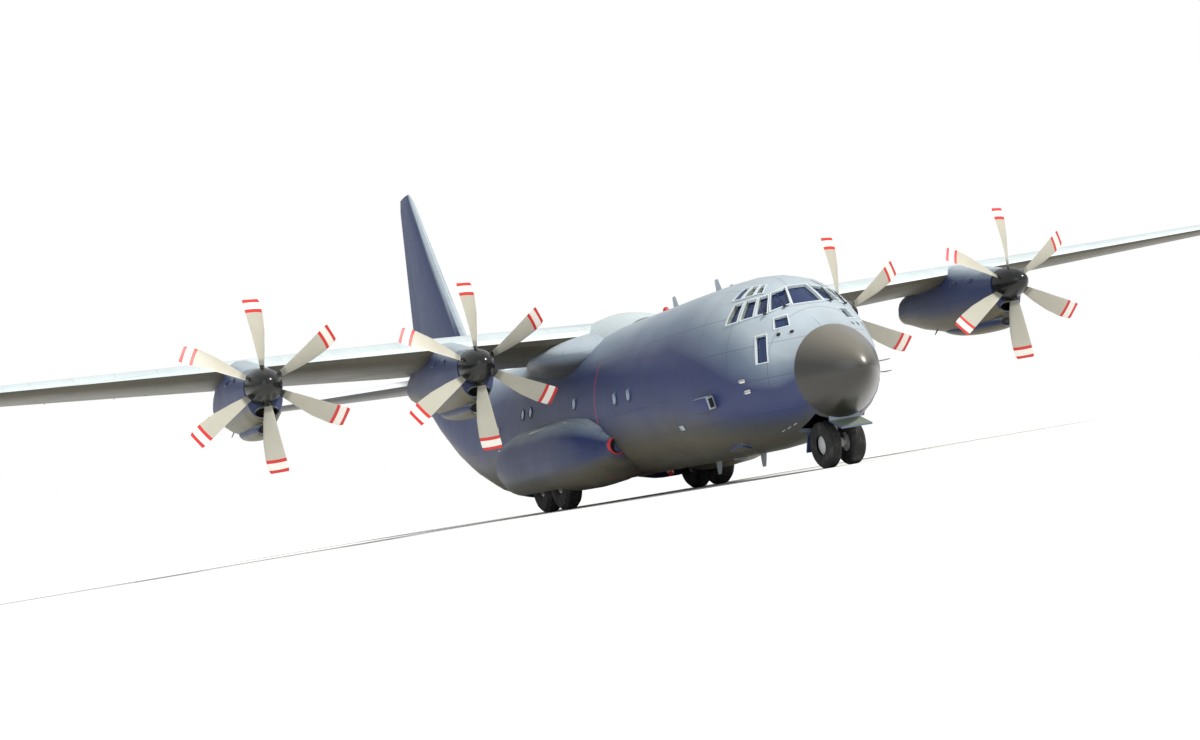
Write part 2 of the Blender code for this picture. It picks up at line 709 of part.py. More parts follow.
def wing_chord(x):
    """Leading edge station and chord at a distance out."""
    out = max(0.0, abs(x) - WING_KINK_X) / (WING_SPAN / 2 - WING_KINK_X)
    chord = WING_ROOT_CHORD + (WING_TIP_CHORD - WING_ROOT_CHORD) * out
    return WING_LEAD + 0.25 * (WING_ROOT_CHORD - chord), chord


def half_thickness(fraction, ratio):
    """The half thickness of a wing section, as a share of its chord."""
    curve = 0.2969 * math.sqrt(fraction) - 0.126 * fraction - 0.3516 * fraction ** 2
    curve += 0.2843 * fraction ** 3 - 0.1036 * fraction ** 4
    return 5 * ratio * curve


def wing_point(x, fraction, face=0):
    """A point on the wing: face 1 is the upper side, -1 the lower, 0 the middle."""
    lead, chord = wing_chord(x)
    out = abs(x) / (WING_SPAN / 2)
    ratio = 0.18 - 0.06 * out
    camber = 0.08 * fraction * (1 - fraction)
    height = camber + face * half_thickness(fraction, ratio)
    drop = (fraction - 0.25) * math.sin(WING_INCIDENCE * (1 - out))
    z = WING_Z + abs(x) * math.tan(WING_DIHEDRAL) + chord * (height - drop)
    return Vector((x, at(lead + fraction * chord), z))


def wing_ring(x, grow=0.0):
    upper = [wing_point(x, fraction, 1) for fraction in reversed(WING_FRACTIONS)]
    lower = [wing_point(x, fraction, -1) for fraction in WING_FRACTIONS]
    ring = [wing_point(x, 1.0, 1), *upper, wing_point(x, 0.0), *lower, wing_point(x, 1.0, -1)]
    return grown(ring, grow) if grow else ring


def flap_ring(x, hinge):
    """A trailing surface: a round nose about the hinge, then the wing's own section."""
    centre = wing_point(x, hinge)
    radius = (wing_point(x, hinge, 1) - centre).length * 0.97
    nose = []
    for turn in (60, 100, 140, 180, 220, 260, 300):
        angle = math.radians(turn)
        nose.append(centre + Vector((0, radius * math.cos(angle), radius * math.sin(angle))))
    middle = hinge + (1 - hinge) * 0.5
    upper = [wing_point(x, 1.0, 1), wing_point(x, middle, 1)]
    lower = [wing_point(x, middle, -1), wing_point(x, 1.0, -1)]
    return [*upper, *nose, *lower]


def wing_nose_face(x, hinge):
    """Where the wing ends in front of a trailing surface: Y, height and the nose's front."""
    centre = wing_point(x, hinge)
    radius = (wing_point(x, hinge, 1) - centre).length * 0.97
    return centre, centre.y - radius


def bay_mesh(near, far, hinge, side, cut_low, cut_high):
    """The space that a trailing surface takes out of the wing."""
    outline = []
    for x, gap in ((near, -RUN_GAP), (far, RUN_GAP)):
        _, nose_y = wing_nose_face(x, hinge)
        outline.append(Vector((side * (x + gap), nose_y - RUN_GAP, cut_low)))
    for x, gap in ((far, RUN_GAP), (near, -RUN_GAP)):
        lead, chord = wing_chord(x)
        outline.append(Vector((side * (x + gap), at(lead + chord) + 0.4, cut_low)))
    return prism(outline, Vector((0, 0, cut_high - cut_low)))


def lug_meshes(near, far, hinge, side, shares=(0.12, 0.5, 0.88)):
    """Hinge lugs from the wing's rear face to the nose of a trailing surface."""
    meshes = []
    for share in shares:
        x = near + (far - near) * share
        meshes.append(lug(x, side, lambda place, hinge=hinge: wing_nose_face(place, hinge)))
    return meshes


def lug(x, side, nose_face):
    """One lug, its end face along the nose that it meets; nose_face gives centre and front."""
    half, depth, height = 0.05, 0.10, 0.06
    outline = []
    for place_x, back in ((x - half, 0), (x + half, 0), (x + half, depth), (x - half, depth)):
        centre, nose_y = nose_face(place_x)
        outline.append(Vector((side * place_x, nose_y - SEAT_GAP - back, centre.z - height / 2)))
    return prism(outline, Vector((0, 0, height)))


def trailing_surface(name, near, far, hinge, side, drop, paints):
    """A flap or an aileron; drop puts its pivot that far below its nose."""
    stations = [near, far] if far - near < 4 else [near, (near + far) / 2, far]
    rings = [flap_ring(side * x, hinge) for x in stations]
    start, end = (wing_point(side * x, hinge) for x in (near, far))
    pivot = (start + end) / 2 - Vector((0, 0, drop))
    return place(name, skin(rings), paints["control"], pivot)


def make_wing(fuselage_tool, paints):
    centre_x = WING_KINK_X - SEAT_GAP / 2
    rings = [wing_ring(x) for x in (-centre_x, 0.0, centre_x)]
    centre = place("wing_centre", skin(rings), paints["wing"])
    hump = tool("wing_fairing_form", skin([hull_ring(row) for row in HUMP]))
    combine(hump, fuselage_tool, "DIFFERENCE")
    combine(centre, hump, "UNION")
    made = [centre]
    for side, name in ((1, "left"), (-1, "right")):
        bay = bay_mesh(*INNER_FLAP, FLAP_HINGE, side, 3.4, 5.2)
        combine(centre, tool(f"inner_flap_bay_{name}", bay), "DIFFERENCE")
        lugs = merged(lug_meshes(*INNER_FLAP, FLAP_HINGE, side))
        combine(centre, tool(f"inner_flap_lugs_{name}", lugs), "UNION")
        rings = [wing_ring(side * x) for x in (WING_KINK_X + SEAT_GAP / 2, *WING_STATIONS[:-1])]
        rings.append(tip_ring(side * WING_STATIONS[-1], 0.55))
        outer = place(f"wing_outer_{name}", skin(rings), paints["wing"])
        for label, span, hinge in (("flap", OUTER_FLAP, FLAP_HINGE), ("aileron", AILERON, AILERON_HINGE)):
            bay = bay_mesh(*span, hinge, side, 3.4, 6.2)
            combine(outer, tool(f"{label}_bay_{name}", bay), "DIFFERENCE")
            lugs = merged(lug_meshes(*span, hinge, side))
            combine(outer, tool(f"{label}_lugs_{name}", lugs), "UNION")
        made.append(outer)
        trailing_surface(f"flap_inner_{name}", *INNER_FLAP, FLAP_HINGE, side, FLAP_PIVOT_DROP, paints)
        trailing_surface(f"flap_outer_{name}", *OUTER_FLAP, FLAP_HINGE, side, FLAP_PIVOT_DROP, paints)
        trailing_surface(f"aileron_{name}", *AILERON, AILERON_HINGE, side, 0.0, paints)
    return made


def tip_ring(x, shrink):
    """The last ring of the wing, drawn in to round the tip."""
    ring = wing_ring(x)
    middle = sum(ring, Vector()) / len(ring)
    return [middle + (point - middle) * shrink for point in ring]


# Tail


def tail_ring(lead, trail, half_thick, across, hinge=None):
    """A symmetric section from (station, place) pairs; across maps (y, offset) to a point."""
    chord = trail - lead
    fractions = (0.015, 0.06, 0.16, 0.32, 0.52, 0.75)
    ratio = half_thick / chord
    upper = [(f, half_thickness(f, ratio * 2)) for f in reversed(fractions)]
    points = [(1.0, half_thickness(0.98, ratio * 2)), *upper, (0.0, 0.0)]
    points += [(f, -h) for f, h in reversed(upper)]
    points.append((1.0, -points[0][1]))
    return [across(at(lead + f * chord), h * chord) for f, h in points]


Blades = namedtuple("Blades", "reach lead trail half_thick")
TAILPLANE = [Blades(*row) for row in (
    # distance out, leading station, trailing station, half thickness
    (TAIL_ROOT_X, 30.15, 34.22, 0.26),
    (7.75, 31.90, 33.28, 0.10),
    (TAIL_SPAN / 2, 32.20, 33.10, 0.05),
)]
FIN = [Blades(*row) for row in (
    # height, leading station, trailing station, half thickness
    (4.60, 26.40, 32.60, 0.36),
    (5.42, 27.01, 34.20, 0.34),
    (8.55, 29.33, 33.78, 0.27),
    (11.50, 31.25, 33.05, 0.13),
    (FIN_TOP, 31.60, 32.85, 0.06),
)]
DORSAL = [Blades(*row) for row in (
    (4.50, 23.60, 31.00, 0.20),
    (6.30, 27.67, 31.00, 0.16),
)]


def blade_at(table, reach):
    for before, after in zip(table, table[1:]):
        if reach <= after.reach + 1e-9:
            share = (reach - before.reach) / (after.reach - before.reach)
            return Blades(*(a + (b - a) * share for a, b in zip(before, after)))
    return table[-1]


def rudder_hinge(z):
    return 32.36 + 0.02 * (z - RUDDER_BASE)


def elevator_hinge(x):
    row = blade_at(TAILPLANE, x)
    return row.lead + ELEVATOR_HINGE * (row.trail - row.lead)


def control_ring(row, hinge, across):
    """A tail control: a round nose about the hinge, then straight to the trailing edge."""
    share = (hinge - row.lead) / (row.trail - row.lead)
    chord = row.trail - row.lead
    radius = half_thickness(share, 2 * row.half_thick / chord) * chord * 0.96
    points = [(row.trail, radius * 0.12)]
    for turn in (75, 110, 145, 180, 215, 250, 285):
        angle = math.radians(turn)
        points.append((hinge + radius * math.cos(angle), radius * math.sin(angle)))
    points.append((row.trail, -radius * 0.12))
    return [across(at(station), offset) for station, offset in points], hinge - radius


def upright(table):
    """A surface that stands up from the hull, from rows at rising heights."""
    rings = []
    for row in table:
        rings.append(tail_ring(
            row.lead, row.trail, row.half_thick, lambda y, offset, z=row.reach: Vector((offset, y, z))
        ))
    return skin(rings)


def make_tail(fuselage_tool, paints):
    fin = place("fin", upright(FIN), paints["tail"])
    dorsal = tool("dorsal_form", upright(DORSAL))
    combine(fin, dorsal, "UNION")
    combine(fin, fuselage_tool, "DIFFERENCE")
    rings, lugs, noses = [], [], []
    for z in (RUDDER_BASE, RUDDER_TOP):
        row = blade_at(FIN, z)
        ring, nose = control_ring(row, rudder_hinge(z), lambda y, offset, z=z: Vector((offset, y, z)))
        rings.append(ring)
        noses.append(nose)
    low, high = RUDDER_BASE - RUN_GAP, RUDDER_TOP + RUN_GAP
    outline = [
        (noses[0] - RUN_GAP, low), (LENGTH + 0.6, low), (LENGTH + 0.6, high), (noses[1] - RUN_GAP, high),
    ]
    combine(fin, tool("rudder_bay", side_prism(outline, -1.0, 1.0)), "DIFFERENCE")
    for share in (0.06, 0.5, 0.94):
        z = RUDDER_BASE + (RUDDER_TOP - RUDDER_BASE) * share
        nose = noses[0] + (noses[1] - noses[0]) * share
        slant = (noses[1] - noses[0]) / (RUDDER_TOP - RUDDER_BASE) * 0.05
        outline = [
            (nose - 0.12, z - 0.05), (nose - slant - SEAT_GAP, z - 0.05),
            (nose + slant - SEAT_GAP, z + 0.05), (nose - 0.12, z + 0.05),
        ]
        lugs.append(side_prism(outline, -0.03, 0.03))
    combine(fin, tool("rudder_lugs", merged(lugs)), "UNION")
    pivot = (0, at(rudder_hinge(RUDDER_BASE)), RUDDER_BASE)
    place("rudder", skin(rings), paints["tail"], pivot)
    for side, name in ((1, "left"), (-1, "right")):
        make_tailplane(side, name, fuselage_tool, paints)


def make_tailplane(side, name, fuselage_tool, paints):
    def across(x):
        return lambda y, offset: Vector((side * x, y, TAILPLANE_Z + offset))
    rings = [tail_ring(row.lead, row.trail, row.half_thick, across(row.reach)) for row in TAILPLANE]
    plane = place(f"tailplane_{name}", skin(rings), paints["tail"])
    combine(plane, fuselage_tool, "DIFFERENCE")
    rings, noses = [], []
    for x in ELEVATOR:
        ring, nose = control_ring(blade_at(TAILPLANE, x), elevator_hinge(x), across(x))
        rings.append(ring)
        noses.append(nose)
    near, far = ELEVATOR
    outline = [
        Vector((side * (near - RUN_GAP), at(noses[0]) - RUN_GAP, 4.2)),
        Vector((side * (far + RUN_GAP), at(noses[1]) - RUN_GAP, 4.2)),
        Vector((side * (far + RUN_GAP), at(LENGTH) + 0.5, 4.2)),
        Vector((side * (near - RUN_GAP), at(LENGTH) + 0.5, 4.2)),
    ]
    bay = tool(f"elevator_bay_{name}", prism(outline, Vector((0, 0, 1.6))))
    combine(plane, bay, "DIFFERENCE")
    lugs = []
    def nose_face(x):
        share = (x - near) / (far - near)
        return Vector((x, 0, TAILPLANE_Z)), at(noses[0] + (noses[1] - noses[0]) * share)

    for share in (0.08, 0.5, 0.92):
        lugs.append(lug(near + (far - near) * share, side, nose_face))
    combine(plane, tool(f"elevator_lugs_{name}", merged(lugs)), "UNION")
    middle = sum(ELEVATOR) / 2
    pivot = (side * middle, at(elevator_hinge(middle)), TAILPLANE_Z)
    place(f"elevator_{name}", skin(rings), paints["tail"], pivot)


# Power plants


def make_power_plant(number, x, z, wing_tool, paints):
    """Nacelle, engine block with its shaft, and propeller at one place on the wing."""
    centre = (x, PROP_STATION, z)
    outer = [hull_ring(row, 0.0, centre, NACELLE_POINTS) for row in NACELLE]
    front = NACELLE[0].station + NACELLE_WALL
    inner_rows = stretch_of(NACELLE, front, NACELLE[-1].station)
    inner = [hull_ring(row, NACELLE_WALL, centre, NACELLE_POINTS) for row in inner_rows]
    nacelle = place(f"nacelle_{number}", tube(outer, inner, True), paints["nacelle"])
    prop_y = at(PROP_STATION)
    face = prop_y + NACELLE[0].station
    hole = rod((x, face - 0.2, z), (x, face + 0.3, z), SHAFT_HOLE, "Y")
    combine(nacelle, tool(f"shaft_hole_{number}", hole), "DIFFERENCE")
    drop = z - INTAKE_DROP
    stretch = INTAKE_HALF_WIDTH / INTAKE_HALF_HEIGHT
    intake = skin([
        circle((x, y, drop), INTAKE_HALF_HEIGHT, "Y", 16, stretch) for y in (face - 0.2, face + 0.3)
    ])
    combine(nacelle, tool(f"intake_{number}", intake), "DIFFERENCE")
    combine(nacelle, wing_tool, "DIFFERENCE")
    block_front = face + NACELLE_WALL + SEAT_GAP
    profile = (
        (prop_y + SPINNER[-1][0] + SEAT_GAP, 0.12), (block_front - 0.02, 0.12),
        (block_front - 0.02, 0.24), (block_front, 0.24), (block_front, 0.34),
        (block_front + 0.3, 0.36), (block_front + 2.7, 0.36), (block_front + 2.9, 0.25),
    )
    engine = skin([circle((x, y, z), radius, "Y", 12) for y, radius in spread(profile)])
    place(f"engine_{number}", engine, paints["engine"])
    make_propeller(number, Vector((x, prop_y, z)), paints)
    return nacelle


# A blade's section, as shares of its chord and thickness
BLADE_SECTION = (
    (0.5, 0.0), (0.3, 0.42), (-0.1, 0.5), (-0.5, 0.12), (-0.5, -0.12), (-0.1, -0.5), (0.3, -0.42),
)


def spread(profile):
    """The profile with steps a hair apart, so that no ring lies on another."""
    result = []
    for y, radius in profile:
        if result and abs(result[-1][0] - y) < 1e-4:
            y = result[-1][0] + 0.0004
        result.append((y, radius))
    return result


def blade_mesh(hub, turn):
    """One twisted blade, its root sunk in the spinner."""
    rings = []
    for row in BLADE:
        pitch = math.radians(row.pitch)
        chordwise = Vector((-math.cos(pitch), -math.sin(pitch), 0))
        thickwise = Vector((chordwise.y, -chordwise.x, 0))
        ring = []
        for along, thick in BLADE_SECTION:
            point = chordwise * (along * row.chord) + thickwise * (thick * row.thickness)
            point += Vector((row.sweep, 0, row.radius))
            ring.append(point)
        rings.append(ring)
    mesh = skin(rings)
    matrix = Matrix.Translation(hub) @ Matrix.Rotation(math.radians(turn), 4, "Y")
    bmesh.ops.transform(mesh, matrix=matrix, verts=mesh.verts)
    return mesh


def make_propeller(number, hub, paints):
    rings = [circle((hub.x, hub.y + y, hub.z), radius, "Y", 24) for y, radius in SPINNER]
    propeller = place(f"propeller_{number}", skin(rings), paints["spinner"], hub)
    blades = merged([blade_mesh(hub, index * 360 / BLADE_COUNT) for index in range(BLADE_COUNT)])
    combine(propeller, tool(f"blades_{number}", blades), "UNION")


# Wheels and landing gear


def tyre_mesh(centre, radius, width, rim):
    half = width / 2
    shoulder = radius - 0.07 * radius / 0.71
    inner = rim + SEAT_GAP
    middle = (shoulder + rim) / 2
    profile = (
        (-half * 0.70, inner), (-half, middle), (-half * 0.86, shoulder), (-half * 0.50, radius),
        (half * 0.50, radius), (half * 0.86, shoulder), (half, middle), (half * 0.70, inner),
    )
    return turned(profile, centre, "X", WHEEL_SIDES)


def rim_mesh(centre, radius, width, bore):
    """A wheel with a dished face on each side and a bore through its hub."""
    half = width * 0.31
    profile = (
        (-half, radius), (-half, radius * 0.86), (-half * 0.45, radius * 0.66),
        (-half * 0.95, radius * 0.42),
        (-half * 0.95, bore), (half * 0.95, bore), (half * 0.95, radius * 0.42),
        (half * 0.45, radius * 0.66), (half, radius * 0.86), (half, radius),
    )
    return turned(profile, centre, "X", WHEEL_SIDES)


def make_sponson(side, name, fuselage_tool, paints):
    rings = [hull_ring(row, 0.0, (side * SPONSON_X, 0, 0)) for row in SPONSON]
    sponson = place(f"sponson_{name}", skin(rings), paints["hull"])
    combine(sponson, fuselage_tool, "DIFFERENCE")
    near, far = sorted((side * 0.5, side * WELL_OUTER_X))
    well = box(near, far, at(WELL_FRONT), at(WELL_REAR), -0.5, WELL_CEILING)
    combine(sponson, tool(f"sponson_well_{name}", well), "DIFFERENCE")


def make_main_gear(side, name, paints):
    """Two shock struts on a shared beam, with a stub axle each, and their wheels."""
    x = side * STRUT_X
    wheel_x = side * MAIN_TRACK / 2
    axle_z = MAIN_TYRE_RADIUS
    top = WELL_CEILING - SEAT_GAP
    first, last = (at(station) for station in MAIN_AXLE_STATIONS)
    beam = box(x - 0.08, x + 0.08, first - 0.25, last + 0.25, top - 0.22, top)
    leg = place(f"main_gear_leg_{name}", beam, paints["gear"])
    pieces = []
    for y in (first, last):
        pieces.append(rod((x, y, axle_z - 0.13), (x, y, top - 0.1), 0.085, "Z"))
        reach = wheel_x + side * MAIN_TYRE_WIDTH * 0.31
        pieces.append(rod((x, y, axle_z), (reach, y, axle_z), AXLE_RADIUS, "X", 24))
    for index, mesh in enumerate(pieces):
        combine(leg, tool(f"leg_piece_{name}_{index}", mesh), "UNION")
    for label, y in (("front", first), ("rear", last)):
        centre = (wheel_x, y, axle_z)
        tyre = tyre_mesh(centre, MAIN_TYRE_RADIUS, MAIN_TYRE_WIDTH, MAIN_RIM_RADIUS)
        place(f"main_tyre_{name}_{label}", tyre, paints["tyre"], centre)
        rim = rim_mesh(centre, MAIN_RIM_RADIUS, MAIN_TYRE_WIDTH, BORE_RADIUS)
        place(f"main_rim_{name}_{label}", rim, paints["rim"], centre)


NOSE_DOOR_HALF_WIDTH = 0.36
NOSE_DOORS = {
    "front": (
        (0.83, 0.790), (1.312, 0.965), (1.312, 1.06), (1.355, 1.06), (1.355, 0.950), (0.84, 0.755),
    ),
    "rear": ((2.43, 0.86), (2.48, 0.86), (2.48, 0.755), (2.66, 0.40), (2.62, 0.39), (2.43, 0.745)),
}


def make_nose_gear(fuselage_tool, paints):
    y = at(NOSE_GEAR_STATION)
    axle_z = NOSE_TYRE_RADIUS
    leg = place("nose_gear_leg", rod((0, y, 1.07), (0, y, 2.06 - SEAT_GAP), 0.10, "Z"), paints["gear"])
    brace = ((NOSE_GEAR_STATION, 1.22), (NOSE_GEAR_STATION + 0.06, 1.14), (2.62, 1.74), (2.56, 1.84))
    combine(leg, tool("nose_brace", side_prism(brace, -0.05, 0.05)), "UNION")
    combine(leg, tool("nose_trunnion", rod((-0.50, y, 1.72), (0.50, y, 1.72), 0.05, "X")), "UNION")
    centre = (0, y, axle_z)
    stem = rod((0, y, axle_z), (0, y, 1.07 - SEAT_GAP), 0.075, "Z")
    fork = place("nose_gear_fork", stem, paints["gear"], centre)
    collar = rod((0, y, 0.93), (0, y, 1.05), 0.115, "Z")
    combine(fork, tool("fork_collar", collar), "UNION")
    barrel = rod((-0.10, y, axle_z), (0.10, y, axle_z), 0.105, "X", 24)
    combine(fork, tool("fork_barrel", barrel), "UNION")
    bore = rod((-0.3, y, axle_z), (0.3, y, axle_z), BORE_RADIUS, "X", 24)
    combine(fork, tool("fork_bore", bore), "DIFFERENCE")
    half = NOSE_TYRE_WIDTH * 0.31
    inner, outer = NOSE_TYRE_OFFSET - half, NOSE_TYRE_OFFSET + half
    steps = (
        (-outer, 0.07), (-outer + 0.03, NOSE_RIM_RADIUS), (-inner, NOSE_RIM_RADIUS), (-inner + 0.02, 0.10),
        (-0.115, AXLE_RADIUS), (0.115, AXLE_RADIUS),
        (inner - 0.02, 0.10), (inner, NOSE_RIM_RADIUS), (outer - 0.03, NOSE_RIM_RADIUS), (outer, 0.07),
    )
    hub = skin([circle((x, y, axle_z), radius, "X", WHEEL_SIDES, phase=0.0) for x, radius in steps])
    place("nose_hub", hub, paints["rim"], centre)
    for side, name in ((1, "left"), (-1, "right")):
        spot = (side * NOSE_TYRE_OFFSET, y, axle_z)
        tyre = tyre_mesh(spot, NOSE_TYRE_RADIUS, NOSE_TYRE_WIDTH, NOSE_RIM_RADIUS)
        place(f"nose_tyre_{name}", tyre, paints["tyre"], spot)
    for name, profile in NOSE_DOORS.items():
        door = side_prism(profile, -NOSE_DOOR_HALF_WIDTH, NOSE_DOOR_HALF_WIDTH)
        door = place(f"nose_gear_door_{name}", door, paints["hull"])
        combine(door, fuselage_tool, "DIFFERENCE")


def main():
    clear_scene()
    paints = make_paints()
    hull_rings = [hull_ring(row, -SEAT_GAP) for row in HULL]
    fuselage_tool = tool("hull_solid", skin(hull_rings))
    outward = (WING_KINK_X, *WING_STATIONS)
    spans = (*(-x for x in reversed(outward)), 0.0, *outward)
    wing_tool = tool("wing_solid", skin([wing_ring(x, SEAT_GAP) for x in spans]))
    make_radome(paints)
    nose = make_nose(paints)
    make_crew_door(nose, paints)
    make_glazing(paints)
    make_flight_deck(paints)
    make_forward_fuselage(paints)
    make_centre_fuselage(wing_tool, paints)
    make_aft_fuselage(paints)
    make_ramp(paints)
    make_cargo_door(paints)
    make_cargo_floor(paints)
    make_wing(fuselage_tool, paints)
    make_tail(fuselage_tool, paints)
    number = 0
    for side in (1, -1):
        for x, z in sorted(zip(ENGINE_X, ENGINE_Z), reverse=side > 0):
            number += 1
            make_power_plant(number, side * x, z, wing_tool, paints)
    for side, name in ((1, "left"), (-1, "right")):
        make_sponson(side, name, fuselage_tool, paints)
        make_main_gear(side, name, paints)
    make_nose_gear(fuselage_tool, paints)


main()
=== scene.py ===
"""Looks of a four-engined military transport plane, parked on its gear, as a 1:2 scale model.

Tables are in full-size metres and SCALE brings them down to the model.
X runs to the plane's left, Y aft and Z up; a station is a distance aft of the nose tip.
"""

import math
from collections import namedtuple

import bmesh
import bpy
from mathutils import Matrix, Vector


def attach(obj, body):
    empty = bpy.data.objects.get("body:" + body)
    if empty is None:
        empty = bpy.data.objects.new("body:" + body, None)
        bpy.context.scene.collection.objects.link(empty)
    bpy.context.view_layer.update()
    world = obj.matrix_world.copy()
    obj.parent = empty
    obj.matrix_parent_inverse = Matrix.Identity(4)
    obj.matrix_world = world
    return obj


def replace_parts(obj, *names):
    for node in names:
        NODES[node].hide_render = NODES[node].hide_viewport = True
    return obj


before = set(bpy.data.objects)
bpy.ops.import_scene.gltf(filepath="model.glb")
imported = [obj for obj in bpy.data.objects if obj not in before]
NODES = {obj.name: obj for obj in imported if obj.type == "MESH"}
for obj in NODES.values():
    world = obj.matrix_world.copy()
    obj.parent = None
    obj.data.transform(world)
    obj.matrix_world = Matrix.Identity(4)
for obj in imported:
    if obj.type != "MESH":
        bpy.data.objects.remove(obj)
for name in ("Cube", "Light", "Camera"):
    if name in bpy.data.objects:
        bpy.data.objects.remove(bpy.data.objects[name], do_unlink=True)
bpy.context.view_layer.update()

SCALE = 0.5
LENGTH = 34.37
PROP_STATION, PROP_RADIUS = 10.24, 2.055
ENGINES = {1: (10.16, 4.03), 2: (4.96, 3.80), 3: (-4.96, 3.80), 4: (-10.16, 4.03)}
SIDES = ((1, "left"), (-1, "right"))
MAIN_AXLES = {"front": 13.39, "rear": 14.91}
MAIN_WHEEL_X, STRUT_X = 2.175, 1.80
NOSE_GEAR, NOSE_WHEEL_X = 1.83, 0.285
SPONSON_X = 1.75
BLADE_COUNT = 6

# The red line level with the propellers, on the model: its place, half width, top and reach across
WARNING_LINE = (10.30 - LENGTH / 2) * SCALE
LINE_HALF_WIDTH, LINE_TOP, LINE_REACH = 0.011, 1.73, 1.085

Section = namedtuple("Section", "station half_width top middle bottom belly roof", defaults=(2.0,))
HULL = [Section(*row) for row in (
    # station, half width, top, widest level, bottom, then exponents of belly and roof
    (1.30, 0.98, 2.96, 1.98, 1.00, 2.00),
    (1.70, 1.21, 3.24, 2.00, 0.93, 2.05),
    (2.00, 1.38, 3.52, 2.03, 0.87, 2.10),
    (2.50, 1.63, 3.98, 2.09, 0.78, 2.20),
    (2.90, 1.78, 4.21, 2.14, 0.71, 2.30),
    (3.40, 1.92, 4.33, 2.20, 0.65, 2.45),
    (3.86, 2.01, 4.39, 2.24, 0.61, 2.55),
    (5.20, 2.13, 4.44, 2.28, 0.56, 2.70),
    (6.60, 2.16, 4.45, 2.29, 0.55, 2.70),
    (20.93, 2.16, 4.45, 2.29, 0.55, 2.70),
    (22.50, 2.13, 4.52, 2.50, 1.02, 2.60),
    (24.10, 2.02, 4.62, 2.85, 1.62, 2.50),
    (26.40, 1.72, 4.78, 3.45, 2.52, 2.40),
    (28.65, 1.34, 4.95, 4.05, 3.40, 2.30),
    (30.60, 1.02, 5.12, 4.50, 4.02, 2.20),
    (32.60, 0.66, 5.22, 4.82, 4.48, 2.10),
    (34.00, 0.30, 5.20, 5.00, 4.82, 2.00),
    (34.37, 0.08, 5.12, 5.02, 4.93, 2.00),
)]
SPONSON = [Section(*row) for row in (
    # the same, with half widths that reach outward from SPONSON_X
    (9.90, 0.55, 1.75, 1.25, 0.80, 2.2, 2.2),
    (10.20, 0.80, 1.98, 1.25, 0.62, 2.3, 2.3),
    (10.90, 1.02, 2.20, 1.28, 0.47, 2.5, 2.5),
    (12.30, 1.15, 2.34, 1.30, 0.42, 2.8, 2.6),
    (15.90, 1.15, 2.34, 1.30, 0.42, 2.8, 2.6),
    (17.20, 1.00, 2.22, 1.35, 0.52, 2.5, 2.5),
    (18.40, 0.72, 1.95, 1.42, 0.80, 2.2, 2.2),
)]
NACELLE = [Section(*row) for row in (
    # the same, with stations aft of the propeller and heights from its shaft
    (0.30, 0.46, 0.45, 0.00, -0.80, 2.2, 2.0),
    (0.75, 0.53, 0.56, 0.00, -0.93, 2.3, 2.1),
    (1.50, 0.56, 0.72, 0.00, -0.98, 2.3, 2.2),
    (2.60, 0.57, 0.92, 0.00, -0.95, 2.3, 2.3),
    (3.60, 0.55, 0.98, 0.00, -0.85, 2.2, 2.3),
    (4.80, 0.47, 0.72, 0.00, -0.62, 2.1, 2.1),
    (5.70, 0.36, 0.46, 0.00, -0.36, 2.0, 2.0),
)]

# Fillet under the wing root, and the oil cooler's scoop below a shaft, aft of the propeller
ROOT_FILLET = [Section(*row) for row in (
    (11.60, 1.30, 4.20, 3.85, 3.50, 2.0),
    (12.05, 1.90, 4.36, 3.92, 3.34, 2.0),
    (12.60, 2.35, 4.50, 3.98, 3.16, 2.0),
    (13.40, 2.52, 4.50, 3.98, 3.12, 2.0),
    (14.60, 2.30, 4.46, 3.95, 3.26, 2.0),
    (15.60, 1.98, 4.40, 3.90, 3.38, 2.0),
    (18.20, 1.30, 4.20, 3.85, 3.50, 2.0),
)]
COOLER = [Section(*row) for row in (
    (0.52, 0.25, -0.82, -0.98, -1.14, 2.4, 2.4),
    (0.90, 0.29, -0.78, -0.97, -1.17, 2.4, 2.4),
    (1.60, 0.31, -0.76, -0.96, -1.16, 2.4, 2.4),
    (2.60, 0.28, -0.76, -0.92, -1.09, 2.4, 2.4),
    (3.40, 0.18, -0.74, -0.84, -0.95, 2.2, 2.2),
    (3.80, 0.06, -0.72, -0.78, -0.84, 2.0, 2.0),
)]
INTAKE_DROP, INTAKE_HALF_WIDTH, INTAKE_HALF_HEIGHT = 0.60, 0.27, 0.12

# Cockpit panes, as bearings from straight ahead about PANE_AXIS and heights at each side
PANE_AXIS = 3.30
Pane = namedtuple("Pane", "near far low_near low_far high_near high_far")
PANES = [Pane(*row) for row in (
    (-16.0, 16.0, 3.54, 3.54, 3.97, 3.97),
    (18.5, 38.0, 3.57, 3.47, 3.96, 3.87),
    (41.0, 51.5, 3.45, 3.43, 3.84, 3.82),
    (54.5, 67.0, 3.42, 3.40, 3.81, 3.80),
    (70.5, 82.5, 3.39, 3.37, 3.79, 3.78),
    (50.0, 59.0, 3.92, 3.92, 4.10, 4.09),
    (63.0, 76.0, 3.91, 3.90, 4.11, 4.11),
    (80.0, 92.0, 3.89, 3.89, 4.12, 4.12),
    (24.0, 35.0, 3.08, 3.06, 3.32, 3.29),
    (41.5, 50.0, 2.40, 2.40, 2.98, 2.97),
)]

# Propeller blade: distance out, chord, thickness, pitch in degrees and sweep
Blade = namedtuple("Blade", "radius chord thickness pitch sweep")
BLADE = [Blade(*row) for row in (
    (0.24, 0.17, 0.120, 62, 0.00),
    (0.50, 0.26, 0.080, 56, 0.00),
    (0.85, 0.37, 0.050, 46, 0.02),
    (1.30, 0.46, 0.032, 36, 0.03),
    (1.70, 0.50, 0.022, 29, 0.01),
    (1.97, 0.49, 0.015, 25, -0.02),
    (2.055, 0.43, 0.010, 24, -0.04),
)]

